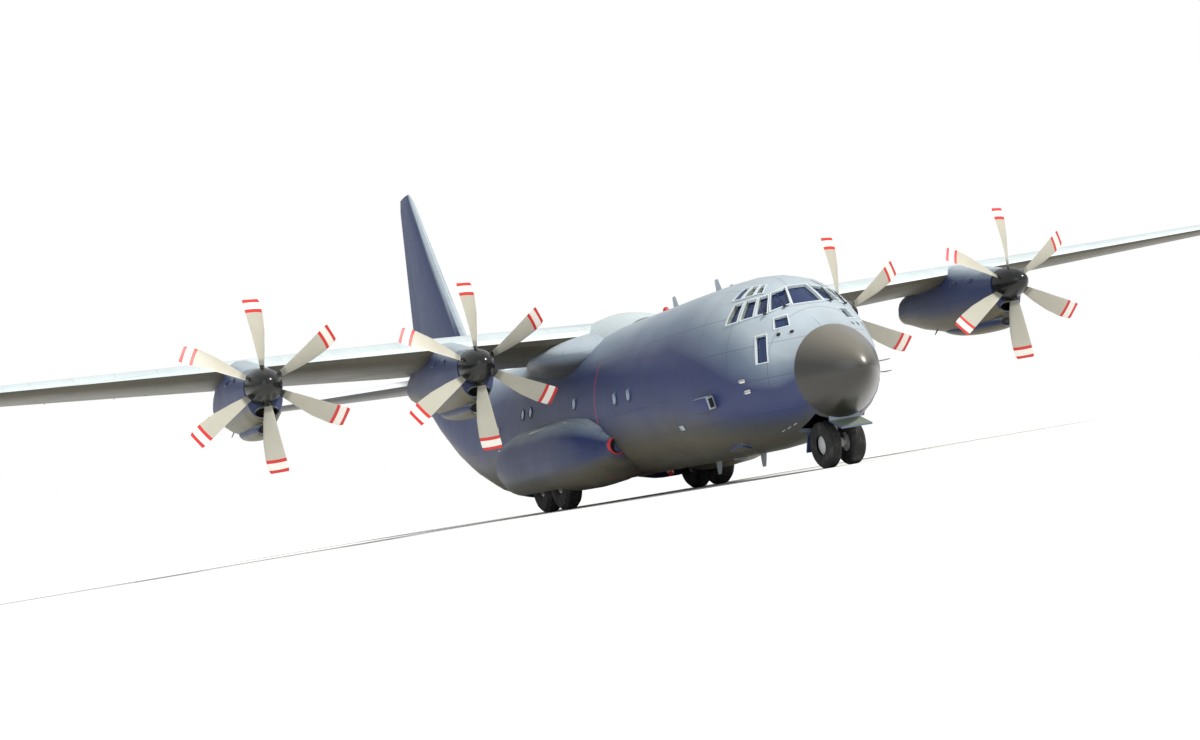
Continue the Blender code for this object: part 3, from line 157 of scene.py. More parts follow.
# Colours, linear
# These six are painted light and shade: lit pale and silver, half-lit haze, and shaded navy, smoke and
# olive
LIT_PALE = (0.40, 0.46, 0.50)
HALF_LIT_HAZE = (0.17, 0.22, 0.29)
SHADED_NAVY = (0.026, 0.040, 0.125)
SHADED_SMOKE = (0.068, 0.070, 0.074)
SHADED_OLIVE = (0.120, 0.108, 0.070)
LIT_SILVER = (0.56, 0.63, 0.64)
FRAME_GREY = (0.62, 0.68, 0.70)


# Shader maths


def math_node(operation):
    """A method that adds one Math node to an amount."""
    return lambda self, *others: self.math(operation, self, *others)


class Amount:
    """A number that changes over a surface; arithmetic on it adds Math nodes."""

    def __init__(self, finish, socket):
        self.finish, self.socket = finish, socket

    def math(self, operation, *values):
        return self.finish.node("Math", {"operation": operation}, dict(enumerate(values)))

    __add__ = __radd__ = math_node("ADD")
    __mul__ = __rmul__ = math_node("MULTIPLY")
    __sub__, __truediv__ = math_node("SUBTRACT"), math_node("DIVIDE")
    __lt__, __abs__ = math_node("LESS_THAN"), math_node("ABSOLUTE")
    highest, root, fraction = math_node("MAXIMUM"), math_node("SQRT"), math_node("FRACT")

    def __rsub__(self, other):
        return self.math("SUBTRACT", other, self)

    def __neg__(self):
        return self * -1.0

    def rise(self, low, high):
        """0 below low, 1 above high and a smooth step between."""
        return self.finish.node(
            "MapRange", {"interpolation_type": "SMOOTHSTEP", "clamp": True},
            {"Value": self, "From Min": low, "From Max": high},
        )

    def band(self, low, high, soft):
        """1 between low and high, with soft edges."""
        return self.rise(low - soft, low + soft) * (1 - self.rise(high - soft, high + soft))

    def lines(self, pitch, half_width, offset=0.0):
        """1 on lines a pitch apart."""
        away = abs(((self + offset) / pitch).fraction() - 0.5) * pitch
        return away.rise(pitch / 2 - half_width * 1.6, pitch / 2 - half_width * 0.6)


class Finish:
    """One material and its nodes."""

    def __init__(self, name, colour=(0.5, 0.5, 0.5), rough=0.5, metal=0.0, **settings):
        self.material = bpy.data.materials.new(name)
        self.material.use_nodes = True
        self.tree = self.material.node_tree
        self.shader = self.tree.nodes["Principled BSDF"]
        self.paint(colour, rough)
        self.put("Metallic", metal)
        for socket, value in settings.items():
            self.put(socket.replace("_", " "), value)
        flat = (0.5, 0.5, 0.5) if isinstance(colour, Amount) else colour
        self.material.diffuse_color = (*flat, 1.0)

    def put(self, socket, value):
        """Set a socket of the shader to a value, or link it to what changes over the surface."""
        self.fill(self.shader.inputs[socket], value)

    def paint(self, colour, rough):
        self.put("Base Color", colour)
        self.put("Roughness", rough)

    def fill(self, socket, value):
        if isinstance(value, Amount):
            self.tree.links.new(value.socket, socket)
        elif isinstance(value, (tuple, list)) and len(value) == 3 and socket.type == "RGBA":
            socket.default_value = (*value, 1.0)
        else:
            socket.default_value = value

    def node(self, kind, settings=None, values=None, output=0):
        added = self.tree.nodes.new("ShaderNode" + kind)
        for setting, value in (settings or {}).items():
            if setting == "stops":
                self.set_stops(added.color_ramp, value)
            else:
                setattr(added, setting, value)
        for key, value in (values or {}).items():
            self.fill(added.inputs[key], value)
        return Amount(self, added.outputs[output])

    def set_stops(self, ramp, stops):
        for element, (position, colour) in ((ramp.elements[0], stops[0]), (ramp.elements[1], stops[-1])):
            element.position, element.color = position, (*colour, 1.0)
        for position, colour in stops[1:-1]:
            ramp.elements.new(position).color = (*colour, 1.0)

    def ladder(self, level, stops):
        """Colours by a level from -1 to 1."""
        stops = [((height + 1) / 2, colour) for height, colour in stops]
        return self.node("ValToRGB", {"stops": stops}, {0: (level + 1) * 0.5})

    def place(self, shift=(0, 0, 0), stretch=(1, 1, 1)):
        """The point of the surface, moved and stretched."""
        point = self.node("TexCoord", output="Object")
        if shift == (0, 0, 0) and stretch == (1, 1, 1):
            return point
        values = {"Vector": point, "Location": shift, "Scale": stretch}
        return self.node("Mapping", None, values)

    def parts(self, vector):
        split = self.node("SeparateXYZ", None, {0: vector})
        return [Amount(self, output) for output in split.socket.node.outputs]

    def facing(self):
        return self.parts(self.node("TexCoord", output="Normal"))

    def noise(self, scale, detail=3.0, stretch=(1, 1, 1)):
        where = self.place(stretch=stretch)
        return self.node("TexNoise", None, {"Vector": where, "Scale": scale, "Detail": detail})

    def mix(self, share, first, second, blend="MIX"):
        """A colour between two."""
        return self.node(
            "Mix", {"data_type": "RGBA", "blend_type": blend},
            {"Factor": share, 6: first, 7: second}, output=2,
        )

    def shade(self, colour, amount, low, high):
        """The colour made darker or lighter as the amount goes from 0 to 1."""
        stops = [(0.0, (low,) * 3), (1.0, (high,) * 3)]
        grey = self.node("ValToRGB", {"stops": stops}, {0: amount})
        return self.mix(1.0, colour, grey, "MULTIPLY")

    def emboss(self, height, depth, strength=1.0):
        self.put("Normal", self.node("Bump", None, {
            "Height": height, "Distance": depth, "Strength": strength,
        }))


# Lofted bodies, for smooth shading and for seating small parts on the skin


class Form:
    """A lofted body between the sections of a table."""

    def __init__(self, rows, centre=(0.0, 0.0, 0.0)):
        self.rows, self.centre = rows, Vector(centre)
        self.slopes = [self.slope(i) for i in range(len(rows))]

    def slope(self, i):
        """How fast each size changes at a row, held between its neighbours."""
        rows = self.rows
        if i in (0, len(rows) - 1):
            first, second = (rows[0], rows[1]) if i == 0 else (rows[-2], rows[-1])
            step = second.station - first.station
            return [(b - a) / step for a, b in zip(first, second)]
        before = rows[i].station - rows[i - 1].station
        after = rows[i + 1].station - rows[i].station
        result = []
        for a, b, c in zip(rows[i - 1], rows[i], rows[i + 1]):
            rise, next_rise = (b - a) / before, (c - b) / after
            if rise * next_rise <= 0:
                result.append(0.0)
            else:
                first, second = 2 * after + before, after + 2 * before
                result.append((first + second) / (first / rise + second / next_rise))
        return result

    def section(self, station):
        station = min(max(station, self.rows[0].station), self.rows[-1].station)
        i = max(k for k in range(len(self.rows) - 1) if self.rows[k].station <= station)
        first, second = self.rows[i], self.rows[i + 1]
        step = second.station - first.station
        t = (station - first.station) / step
        sizes = []
        for a, b, m, n in zip(first, second, self.slopes[i], self.slopes[i + 1]):
            sizes.append(
                (2 * t ** 3 - 3 * t ** 2 + 1) * a + (t ** 3 - 2 * t ** 2 + t) * step * m
                + (3 * t ** 2 - 2 * t ** 3) * b + (t ** 3 - t ** 2) * step * n
            )
        return Section(*sizes)

    def depth(self, point):
        """Below 0 inside the body, 0 on its skin; the point is full-size."""
        x, y, z = point - self.centre
        row = self.section(y)
        up = z > row.middle
        exponent = row.roof if up else row.belly
        height = row.top - row.middle if up else row.middle - row.bottom
        across = abs(x) / row.half_width
        tall = abs(z - row.middle) / height
        return (across ** exponent + tall ** exponent) ** (1 / exponent) - 1

    def normal(self, point):
        step = 0.004
        axes = (Vector((step, 0, 0)), Vector((0, step, 0)), Vector((0, 0, step)))
        return Vector([self.depth(point + a) - self.depth(point - a) for a in axes]).normalized()

    def reach(self, start, direction):
        """The point of the skin along a ray from inside, full-size."""
        start, direction = Vector(start), Vector(direction).normalized()
        low, high = 0.0, 4.0
        for _ in range(30):
            middle = (low + high) / 2
            low, high = (middle, high) if self.depth(start + direction * middle) < 0 else (low, middle)
        return start + direction * low

    def seat(self, start, direction):
        """A matrix at the skin along a ray: X aft, Y up the skin and Z outward."""
        point = self.reach(start, direction)
        out = self.normal(point)
        along = Vector((0, 1, 0))
        along = (along - out * along.dot(out)).normalized()
        turn = Matrix((along, out.cross(along), out)).transposed().to_4x4()
        return Matrix.Translation(point) @ turn


hull_form = Form(HULL)
sponson_forms = {side: Form(SPONSON, (side * SPONSON_X, 0.0, 0.0)) for side in (-1, 1)}
nacelle_forms = {number: Form(NACELLE, (x, PROP_STATION, z)) for number, (x, z) in ENGINES.items()}


def full(point):
    """A point of the model in full-size metres, by station."""
    return Vector((point[0] / SCALE, point[1] / SCALE + LENGTH / 2, point[2] / SCALE))


# Pieces


def new_meshes(count):
    return [bmesh.new() for _ in range(count)]


# Angle in degrees from which an edge stays sharp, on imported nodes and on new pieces
NODE_EDGE, PIECE_EDGE = 34, 35


def shaded(name, mesh, sharp):
    """The mesh as smooth data that keeps its sharp edges."""
    data = bpy.data.meshes.new(name)
    mesh.to_mesh(data)
    mesh.free()
    if "custom_normal" in data.attributes:
        data.attributes.remove(data.attributes["custom_normal"])
    data.shade_smooth()
    data.set_sharp_from_angle(angle=math.radians(sharp))
    return data


def dressed(node, finish, body="airframe", form=None):
    """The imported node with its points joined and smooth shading, shown in its place."""
    mesh = bmesh.new()
    mesh.from_mesh(NODES[node].data)
    bmesh.ops.remove_doubles(mesh, verts=mesh.verts, dist=1e-5)
    data = shaded(node + "_skin", mesh, NODE_EDGE)
    if form:
        follow_form(data, form)
    item = bpy.data.objects.new(node + "_skin", data)
    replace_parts(item, node)
    return settled(item, finish, body)


def follow_form(data, form):
    """Shade the faces that lie on the form, or inside along it, as the smooth form would be."""
    corners = [corner.vector.copy() for corner in data.corner_normals]
    for polygon in data.polygons:
        for loop in polygon.loop_indices:
            point = full(data.vertices[data.loops[loop].vertex_index].co)
            smooth = form.normal(point)
            match = smooth.dot(polygon.normal)
            if abs(match) > 0.80:
                corners[loop] = smooth if match > 0 else -smooth
            else:
                corners[loop] = polygon.normal.copy()
    data.normals_split_custom_set(corners)


def shown(item):
    """The object, linked into the scene."""
    bpy.context.scene.collection.objects.link(item)
    return item


def settled(item, finish, body):
    """Show a piece, paint it and let it ride on a body."""
    shown(item)
    item.data.materials.clear()
    item.data.materials.append(FINISHES[finish].material)
    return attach(item, body)


def piece(name, mesh, finish, body="airframe", sharp=PIECE_EDGE):
    """A full-size mesh by station becomes a piece of the model."""
    bmesh.ops.translate(mesh, verts=mesh.verts, vec=(0, -LENGTH / 2, 0))
    bmesh.ops.scale(mesh, verts=mesh.verts, vec=(SCALE,) * 3)
    bmesh.ops.recalc_face_normals(mesh, faces=mesh.faces)
    item = bpy.data.objects.new(name, shaded(name, mesh, sharp))
    return settled(item, finish, body)


def moved(mesh, before, matrix):
    """Move the points of a mesh that weren't in it before."""
    bmesh.ops.transform(mesh, matrix=matrix, verts=[point for point in mesh.verts if point not in before])


def turns(count, offset=0.0):
    """Angles at even steps round a circle."""
    return [math.tau * (i + offset) / count for i in range(count)]


def swung(spot, degrees, axis):
    """A matrix that turns about an axis and then moves to a spot."""
    return Matrix.Translation(spot) @ Matrix.Rotation(math.radians(degrees), 4, axis)


def aim(start, end):
    """A matrix that takes the Z axis to the line from start to end."""
    turn = (Vector(end) - Vector(start)).to_track_quat("Z", "Y").to_matrix().to_4x4()
    return Matrix.Translation((Vector(start) + Vector(end)) / 2) @ turn


def bar(mesh, start, end, radius, far_radius=None, sides=16):
    """A round bar between two points."""
    length = (Vector(end) - Vector(start)).length
    bmesh.ops.create_cone(
        mesh, cap_ends=True, segments=sides, radius1=radius,
        radius2=radius if far_radius is None else far_radius, depth=length, matrix=aim(start, end),
    )


def block(mesh, centre, size, edge=0.0, matrix=None):
    """A box with rounded edges, about a centre."""
    place = (matrix or Matrix()) @ Matrix.Translation(Vector(centre)) @ Matrix.Diagonal((*size, 1.0))
    made = bmesh.ops.create_cube(mesh, size=1.0, matrix=place)
    if edge:
        edges = {line for point in made["verts"] for line in point.link_edges}
        bmesh.ops.bevel(
            mesh, geom=list(edges), offset=edge, affect="EDGES", segments=2, profile=0.5, material=-1,
        )


def turned(mesh, profile, matrix=None, steps=32, closed=False):
    """A profile of (radius, height) spun about Z, then placed by a matrix."""
    before = set(mesh.verts)
    points = [mesh.verts.new((radius, 0.0, height)) for radius, height in profile]
    lines = [mesh.edges.new(pair) for pair in zip(points, points[1:])]
    if closed:
        lines.append(mesh.edges.new((points[-1], points[0])))
    bmesh.ops.spin(
        mesh, geom=points + lines, cent=(0, 0, 0), axis=(0, 0, 1), angle=math.tau,
        steps=steps, use_merge=True,
    )
    added = [point for point in mesh.verts if point not in before]
    bmesh.ops.remove_doubles(mesh, verts=added, dist=1e-6)
    if matrix:
        moved(mesh, before, matrix)


def loft(mesh, rings, capped=True):
    """Rings of points bridged one to the next."""
    rows = []
    for ring in rings:
        points = [mesh.verts.new(point) for point in ring]
        rows.append([mesh.edges.new((a, b)) for a, b in zip(points, points[1:] + points[:1])])
    for first, second in zip(rows, rows[1:]):
        bmesh.ops.bridge_loops(mesh, edges=first + second)
    if capped:
        for row in (rows[0], rows[-1]):
            bmesh.ops.contextual_create(mesh, geom=row)


# Finishes


def worn(finish, colour, broad=0.25, streak=0.12):
    """The colour with broad fading and fine streaks that run aft."""
    fading = finish.noise(0.9, 5.0)
    streaks = finish.noise(3.0, 4.0, stretch=(2.2, 0.25, 2.2))
    colour = finish.shade(colour, fading, 1 - broad, 1 + broad)
    return finish.shade(colour, streaks, 1 - streak, 1 + streak)


def panelled(finish, colour, seams, where, up, depth=0.30):
    """Seams between panels, rivet rows beside them and the slight waves of sheet metal."""
    x, y, z = where
    pitch, strake = seams
    hoops = y.lines(pitch, 0.0025)
    strakes = z.lines(strake, 0.0025, 0.05) * (1 - abs(up).rise(0.75, 0.85))
    keel = x.lines(strake, 0.0025, 0.09) * abs(up).rise(0.75, 0.85)
    seam = hoops.highest(strakes).highest(keel)
    rivets = (y.lines(0.030, 0.005) * z.lines(0.030, 0.005)) * y.lines(pitch, 0.022)
    colour = finish.mix(seam * depth, colour, (0.015, 0.015, 0.017))
    finish.paint(colour, 0.36 + finish.noise(2.5, 4.0) * 0.16)
    waves = finish.noise(2.2, 2.0, stretch=(1.0, 0.6, 1.0)) * 0.6
    finish.emboss(waves - seam * 0.25 + rivets * 0.05, 0.010, 0.5)


def skin_paint_and_painted_light(name, stops, forward, seams, drift=0.16):
    """Satin paint over riveted panels, with painted light and shade: its colour by how far a face looks
    up and forward.
    """
    finish = Finish(name, rough=0.42)
    where = finish.parts(finish.place())
    _, along, up = finish.facing()
    # painted light and shade: lighter as a face looks up and forward, darker as it looks down
    level = up - along * forward + (finish.noise(0.8, 3.0) - 0.5) * drift
    panelled(finish, worn(finish, finish.ladder(level, stops), 0.14, 0.10), seams, where, up)
    return finish


def hull_paint():
    """Painted light and shade by facing: lit pale above and about the cockpit, shaded navy sides and a
    belly in olive painted shade; green-grey inside.
    """
    finish = Finish("hull_paint", rough=0.42)
    x, y, z = finish.parts(finish.place())
    across, along, up = finish.facing()
    # the painted light comes further down about the cockpit, most on faces that look forward
    front = 1 - y.rise(-7.9, -5.4)
    # the ladder by facing paints light and shade: a lit pale top, shaded navy sides and olive shade under
    # the belly
    level = up + front * (0.42 - along * 0.45) + (finish.noise(0.8, 3.0) - 0.5) * 0.22
    colour = finish.ladder(level, (
        (-0.62, SHADED_OLIVE), (-0.34, SHADED_SMOKE), (-0.04, SHADED_NAVY), (0.44, SHADED_NAVY), (0.72, HALF_LIT_HAZE), (0.98, LIT_PALE),
    ))
    stains = finish.noise(1.6, 6.0).rise(0.52, 0.75) * (-up).rise(0.5, 0.9)
    colour = finish.mix(stains * 0.55, colour, (0.050, 0.042, 0.030))
    line = (abs(y - WARNING_LINE) < LINE_HALF_WIDTH) * (z < LINE_TOP) * (abs(x) < LINE_REACH)
    colour = finish.mix(line, worn(finish, colour, 0.16, 0.10), (0.45, 0.03, 0.04))
    # faces that look toward the hull's middle line, which climbs at the tail, are inside
    lift = (y - 1.9).highest(0.0) * 0.21 + 1.15
    inner = (x * across + (z - lift) * up) < -0.02
    colour = finish.mix(inner, colour, (0.21, 0.24, 0.20))
    panelled(finish, colour, (0.51, 0.36), (x, y, z), up, 0.50)
    return finish


def plain_paint(name, colour, rough=0.45, metal=0.0, broad=0.12, **settings):
    """Paint with a light orange-peel grain and faint fading."""
    finish = Finish(name, colour, rough, metal, **settings)
    finish.paint(worn(finish, colour, broad, 0.06), rough - 0.05 + finish.noise(9.0, 4.0) * 0.10)
    finish.emboss(finish.noise(60.0, 3.0), 0.0015, 0.4)
    return finish


def bare_metal(name, colour, rough=0.3):
    """Brushed metal with heat and handling stains."""
    finish = Finish(name, colour, rough, 1.0)
    colour = finish.shade(colour, finish.noise(7.0, 5.0), 0.75, 1.12)
    finish.paint(colour, rough + (finish.noise(40.0, 3.0, stretch=(1, 6, 1)) - 0.5) * 0.2)
    return finish


def radome_gloss_and_painted_sheen():
    """Dark bronze-brown rain-erosion coating with a gloss coat and a painted sheen toward the top and
    front.
    """
    finish = Finish("radome_gloss_and_painted_sheen", rough=0.36, Coat_Weight=0.8, Coat_Roughness=0.28)
    _, along, up = finish.facing()
    # painted reflection: near black below, and a pale painted sheen toward the top and front
    colour = finish.ladder(up - along * 0.25 + (finish.noise(1.6, 3.0) - 0.5) * 0.2, (
        (-1.0, (0.012, 0.010, 0.005)), (-0.1, (0.014, 0.012, 0.007)), (0.35, (0.026, 0.024, 0.018)),
        (0.95, (0.15, 0.135, 0.105)),
    ))
    finish.paint(worn(finish, colour, 0.08, 0.05), 0.34 + finish.noise(6.0, 3.0) * 0.08)
    finish.emboss(finish.noise(3.0, 2.0), 0.004, 0.2)
    return finish


def cockpit_glass():
    """Dark navy tinted glass."""
    finish = Finish("cockpit_glass", rough=0.05, IOR=1.5, Coat_Weight=0.5, Coat_Roughness=0.02)
    _, _, z = finish.parts(finish.place())
    colour = finish.mix(z.rise(1.1, 2.1), (0.020, 0.050, 0.140), (0.012, 0.026, 0.100))
    finish.paint(colour, 0.04 + finish.noise(3.0, 3.0) * 0.06)
    finish.put("Alpha", 0.86)
    return finish


def propeller_finish(number):
    """Near-black spinner, warm grey blades and red and white bands at the tips."""
    hub_x, hub_z = ENGINES[number]
    finish = Finish(f"propeller_paint_{number}")
    x, _, z = finish.parts(finish.place(shift=(-hub_x * SCALE, 0, -hub_z * SCALE)))
    out = (x * x + z * z).root() / (PROP_RADIUS * SCALE)
    grain = finish.noise(5.0, 4.0)
    blade = finish.mix(grain, (0.44, 0.42, 0.34), (0.54, 0.52, 0.43))
    # by shares of the radius: dull root, red tip, white band in it, and the spinner
    blade = finish.mix(out.band(0.0, 0.30, 0.03), blade, (0.27, 0.26, 0.21))
    blade = finish.mix(out.rise(0.848, 0.851), blade, (0.62, 0.035, 0.030))
    blade = finish.mix(out.band(0.888, 0.966, 0.002), blade, (0.86, 0.82, 0.74))
    colour = finish.mix(1 - out.rise(0.235, 0.240), blade, (0.010, 0.010, 0.009))
    finish.paint(colour, 0.20 + out.rise(0.22, 0.26) * 0.22 + grain * 0.05)
    finish.emboss(finish.noise(30.0, 3.0), 0.001, 0.3)
    return finish


def tyre_rubber():
    finish = Finish("tyre_rubber", (0.018, 0.018, 0.018), 0.82)
    dust = finish.noise(12.0, 6.0)
    black, dusty = (0.016, 0.016, 0.016), (0.060, 0.056, 0.050)
    finish.put("Base Color", finish.mix(dust.rise(0.45, 0.8), black, dusty))
    finish.emboss(finish.noise(90.0, 4.0), 0.001, 0.5)
    return finish


def make_finishes():
    # Every ladder here is painted light and shade by facing: lit pale tops and leading edges, shaded navy
    # sides, olive and grey shade underneath, and a darker painted shadow just behind the wing's leading
    # edge
    lit_pale_top = ((0.55, HALF_LIT_HAZE), (0.90, LIT_PALE))
    fin_shaded_navy, nacelle_shaded_navy = (0.036, 0.054, 0.135), (0.040, 0.056, 0.140)
    wing_under_shade, flap_under_shade = (0.095, 0.088, 0.058), (0.125, 0.108, 0.062)
    nacelle_under_shade = (0.130, 0.118, 0.070)
    grey, white = (0.150, 0.150, 0.145), (0.75, 0.77, 0.78)
    return {
        "hull": hull_paint(),
        "wing": skin_paint_and_painted_light("wing_paint", (
            (-1.0, wing_under_shade), (0.20, (0.075, 0.070, 0.050)), (0.46, LIT_SILVER),
        ), 0.30, (0.62, 0.5)),
        "control": skin_paint_and_painted_light("control_paint", ((-0.2, flap_under_shade), *lit_pale_top), 0.2, (0.7, 0.6)),
        "fin": skin_paint_and_painted_light("fin_paint_and_painted_light", ((0.45, fin_shaded_navy), (0.80, LIT_PALE)), 0.8, (0.62, 0.55)),
        "tailplane": skin_paint_and_painted_light("tailplane_paint_and_painted_light", ((0.20, grey), (0.42, white)), 0.45, (0.62, 0.55)),
        "nacelle": skin_paint_and_painted_light("nacelle_paint", (
            (-0.42, nacelle_under_shade), (-0.08, nacelle_shaded_navy), (0.40, nacelle_shaded_navy), *lit_pale_top,
        ), 0.1, (0.45, 0.25)),
        "radome": radome_gloss_and_painted_sheen(),
        "glass": cockpit_glass(),
        "frame": plain_paint("window_frame_paint", FRAME_GREY, 0.4),
        "inside": plain_paint("inside_green_grey", (0.24, 0.27, 0.23), 0.6),
        "floor": plain_paint("floor_grey", (0.20, 0.205, 0.205), 0.55, 0.4),
        "engine": bare_metal("engine_metal", (0.40, 0.38, 0.35), 0.4),
        "gear": plain_paint("gear_white", (0.60, 0.61, 0.60), 0.38),
        "rim": plain_paint("rim_grey", (0.52, 0.53, 0.53), 0.35, 0.2),
        "tyre": tyre_rubber(),
        "lip": bare_metal("polished_lip", (0.80, 0.80, 0.78), 0.16),
        "dark": plain_paint("duct_black", (0.012, 0.012, 0.013), 0.6),
        "red": plain_paint("warning_red", (0.60, 0.035, 0.040), 0.4),
        "chrome": bare_metal("oleo_chrome", (0.85, 0.85, 0.86), 0.10),
        "window": plain_paint("round_window_glass", (0.22, 0.30, 0.42), 0.08, Coat_Weight=0.6),
        "pale": plain_paint("pale_strip_paint", (0.42, 0.47, 0.52), 0.35),
        "fairing": skin_paint_and_painted_light("fairing_paint_and_painted_light", (
            (-0.55, SHADED_SMOKE), (-0.10, (0.22, 0.28, 0.35)), (0.5, LIT_PALE),
        ), 0.5, (0.62, 0.5)),
        "red_lamp": plain_paint("red_lamp_glass", (0.55, 0.02, 0.02), 0.12, Coat_Weight=0.6),
        "green_lamp": plain_paint("green_lamp_glass", (0.02, 0.40, 0.10), 0.12, Coat_Weight=0.6),
        "screen": plain_paint("screen_glass", (0.02, 0.06, 0.07), 0.12, Coat_Weight=0.5),
        **{f"propeller_{number}": propeller_finish(number) for number in ENGINES},
    }


FINISHES = make_finishes()


# Airframe


AIRFRAME = (
    # finish, slot, follows the hull's form, then the nodes
    ("hull", "hull", True, (
        "nose_section", "forward_fuselage", "centre_fuselage", "aft_fuselage",
        "paratroop_door_left", "paratroop_door_right",
    )),
    ("glass", "glass", False, ("cockpit_glazing",)),
    ("inside", "inside", False, ("flight_deck",)),
    ("floor", "floor", False, ("cargo_floor",)),
    ("wing", "wing", False, ("wing_centre", "wing_outer_left", "wing_outer_right")),
    ("fin", "tail", False, ("fin",)),
    ("tailplane", "tail", False, ("tailplane_left", "tailplane_right")),
    ("hull", "hull", False, ("nose_gear_door_front", "nose_gear_door_rear")),
    ("gear", "gear", False, ("nose_gear_leg", "main_gear_leg_left", "main_gear_leg_right")),
)
MOVING = {
    # node: finish, slot, body, follows the hull's form
    "rudder": ("fin", "tail", "rudder", False), "crew_door": ("hull", "hull", "crew_door", True),
    "elevator_left": ("tailplane", "tail", "elevator_left", False),
    "elevator_right": ("tailplane", "tail", "elevator_right", False),
    "cargo_ramp": ("hull", "hull", "cargo_ramp", True),
    "cargo_door": ("hull", "hull", "cargo_door", True),
    "nose_gear_fork": ("gear", "gear", "nose_steering", False),
    "nose_hub": ("rim", "rim", "nose_wheels", False),
}


def dress_airframe():
    for finish, slot, on_form, nodes in AIRFRAME:
        for node in nodes:
            dressed(node, finish, form=hull_form if on_form else None)
    for node, (finish, slot, body, on_form) in MOVING.items():
        dressed(node, finish, body, hull_form if on_form else None)
    for side, name in SIDES:
        dressed(f"sponson_{name}", "hull", form=sponson_forms[side])
        for surface in ("aileron", "flap_inner", "flap_outer"):
            dressed(f"{surface}_{name}", "control", f"{surface}_{name}")
        for label in MAIN_AXLES:
            dressed(f"main_rim_{name}_{label}", "rim", f"main_wheel_{name}_{label}")
    for number in ENGINES:
        dressed(f"nacelle_{number}", "nacelle", form=nacelle_forms[number])
        dressed(f"engine_{number}", "engine")


# Cockpit window frames


def pane_point(pane, side, u, v, lift):
    """A point over the skin at shares u across and v up a pane."""
    bearing = math.radians(pane.near + (pane.far - pane.near) * u)
    low = pane.low_near + (pane.low_far - pane.low_near) * u
    high = pane.high_near + (pane.high_far - pane.high_near) * u
    start = Vector((0, PANE_AXIS, low + (high - low) * v))
    spot = hull_form.reach(start, (side * math.sin(bearing), -math.cos(bearing), 0))
    return spot + hull_form.normal(spot) * lift


def pane_loop(pane, side, margin, lift, steps=5):
    """Points round a pane at a margin outside its edge."""
    width = (pane_point(pane, side, 0, 0.5, 0) - pane_point(pane, side, 1, 0.5, 0)).length
    height = (pane_point(pane, side, 0.5, 0, 0) - pane_point(pane, side, 0.5, 1, 0)).length
    a, b = margin / width, margin / height
    corners = ((-a, -b), (1 + a, -b), (1 + a, 1 + b), (-a, 1 + b))
    points = []
    for (u0, v0), (u1, v1) in zip(corners, corners[1:] + corners[:1]):
        for i in range(steps):
            share = i / steps
            points.append(pane_point(pane, side, u0 + (u1 - u0) * share, v0 + (v1 - v0) * share, lift))
    return points


def make_window_frames():
    mesh = bmesh.new()
    for index, pane in enumerate(PANES):
        for side in ((1,) if index == 0 else (1, -1)):
            loft(mesh, [
                pane_loop(pane, side, 0.024, -0.010), pane_loop(pane, side, 0.022, 0.010),
                pane_loop(pane, side, 0.000, 0.010), pane_loop(pane, side, -0.004, -0.060),
            ], capped=False)
    piece("window_frames", mesh, "frame")


WIPERS = (
    # pane, then the shares across and up it of foot and tip
    (PANES[1], (0.30, -0.10), (0.62, 0.72)), (PANES[2], (0.15, -0.10), (0.60, 0.60)),
)


def make_wipers():
    mesh = bmesh.new()
    for side in (-1, 1):
        for pane, foot, tip in WIPERS:
            start, end = (pane_point(pane, side, u, v, 0.035) for u, v in (foot, tip))
            bar(mesh, start, end, 0.012, sides=8)
            bar(mesh, end + (start - end) * 0.62, end + (end - start) * 0.12, 0.018, 0.010, 8)
            block(mesh, start, (0.06, 0.06, 0.04), 0.01)
    piece("wipers", mesh, "dark")


# Round windows

# Station and height of each, then profiles of radius and height over the skin
ROUND_WINDOWS = ((7.90, 2.45), (8.85, 2.45), (11.85, 2.62), (15.55, 2.75), (16.25, 2.75), (18.99, 2.40))
WINDOW_RIM = ((0.135, -0.010), (0.135, 0.014), (0.150, 0.016), (0.168, 0.012), (0.172, -0.012))
WINDOW_PANE = ((0.0, 0.007), (0.07, 0.006), (0.136, 0.002), (0.136, -0.006))


def make_round_windows():
    rims, panes = new_meshes(2)
    for station, z in ROUND_WINDOWS:
        for side in (-1, 1):
            seat = hull_form.seat((0, station, z), (side, 0, 0))
            turned(rims, WINDOW_RIM, seat)
            turned(panes, WINDOW_PANE, seat, steps=24)
    piece("round_window_rims", rims, "hull")
    piece("round_window_panes", panes, "window")


# Propellers


def blade_rows():
    """The table's rows with rows blended between them."""
    rows = []
    for first, second in zip(BLADE, BLADE[1:]):
        for share in (0.0, 0.5):
            rows.append(Blade(*(a + (b - a) * share for a, b in zip(first, second))))
    rows.append(BLADE[-1])
    return rows


def make_blade(mesh, hub, turn):
    rings = []
    for row in blade_rows():
        pitch = math.radians(row.pitch)
        chordwise = Vector((-math.cos(pitch), -math.sin(pitch), 0))
        thickwise = Vector((chordwise.y, -chordwise.x, 0))
        ring = []
        for angle in turns(16):
            along, thick = 0.5 * math.cos(angle), 0.5 * math.sin(angle) * (0.75 - 0.25 * math.cos(angle))
            point = chordwise * (along * row.chord) + thickwise * (thick * row.thickness)
            ring.append(point + Vector((row.sweep, 0, row.radius)))
        rings.append(ring)
    before = set(mesh.verts)
    loft(mesh, rings)
    moved(mesh, before, swung(hub, turn, "Y"))


SPINNER = (
    (0.0, -0.660), (0.05, -0.657), (0.10, -0.640), (0.17, -0.590), (0.235, -0.500), (0.30, -0.385),
    (0.35, -0.275), (0.40, -0.110), (0.43, 0.060), (0.449, 0.219), (0.40, 0.219), (0.0, 0.219),
)


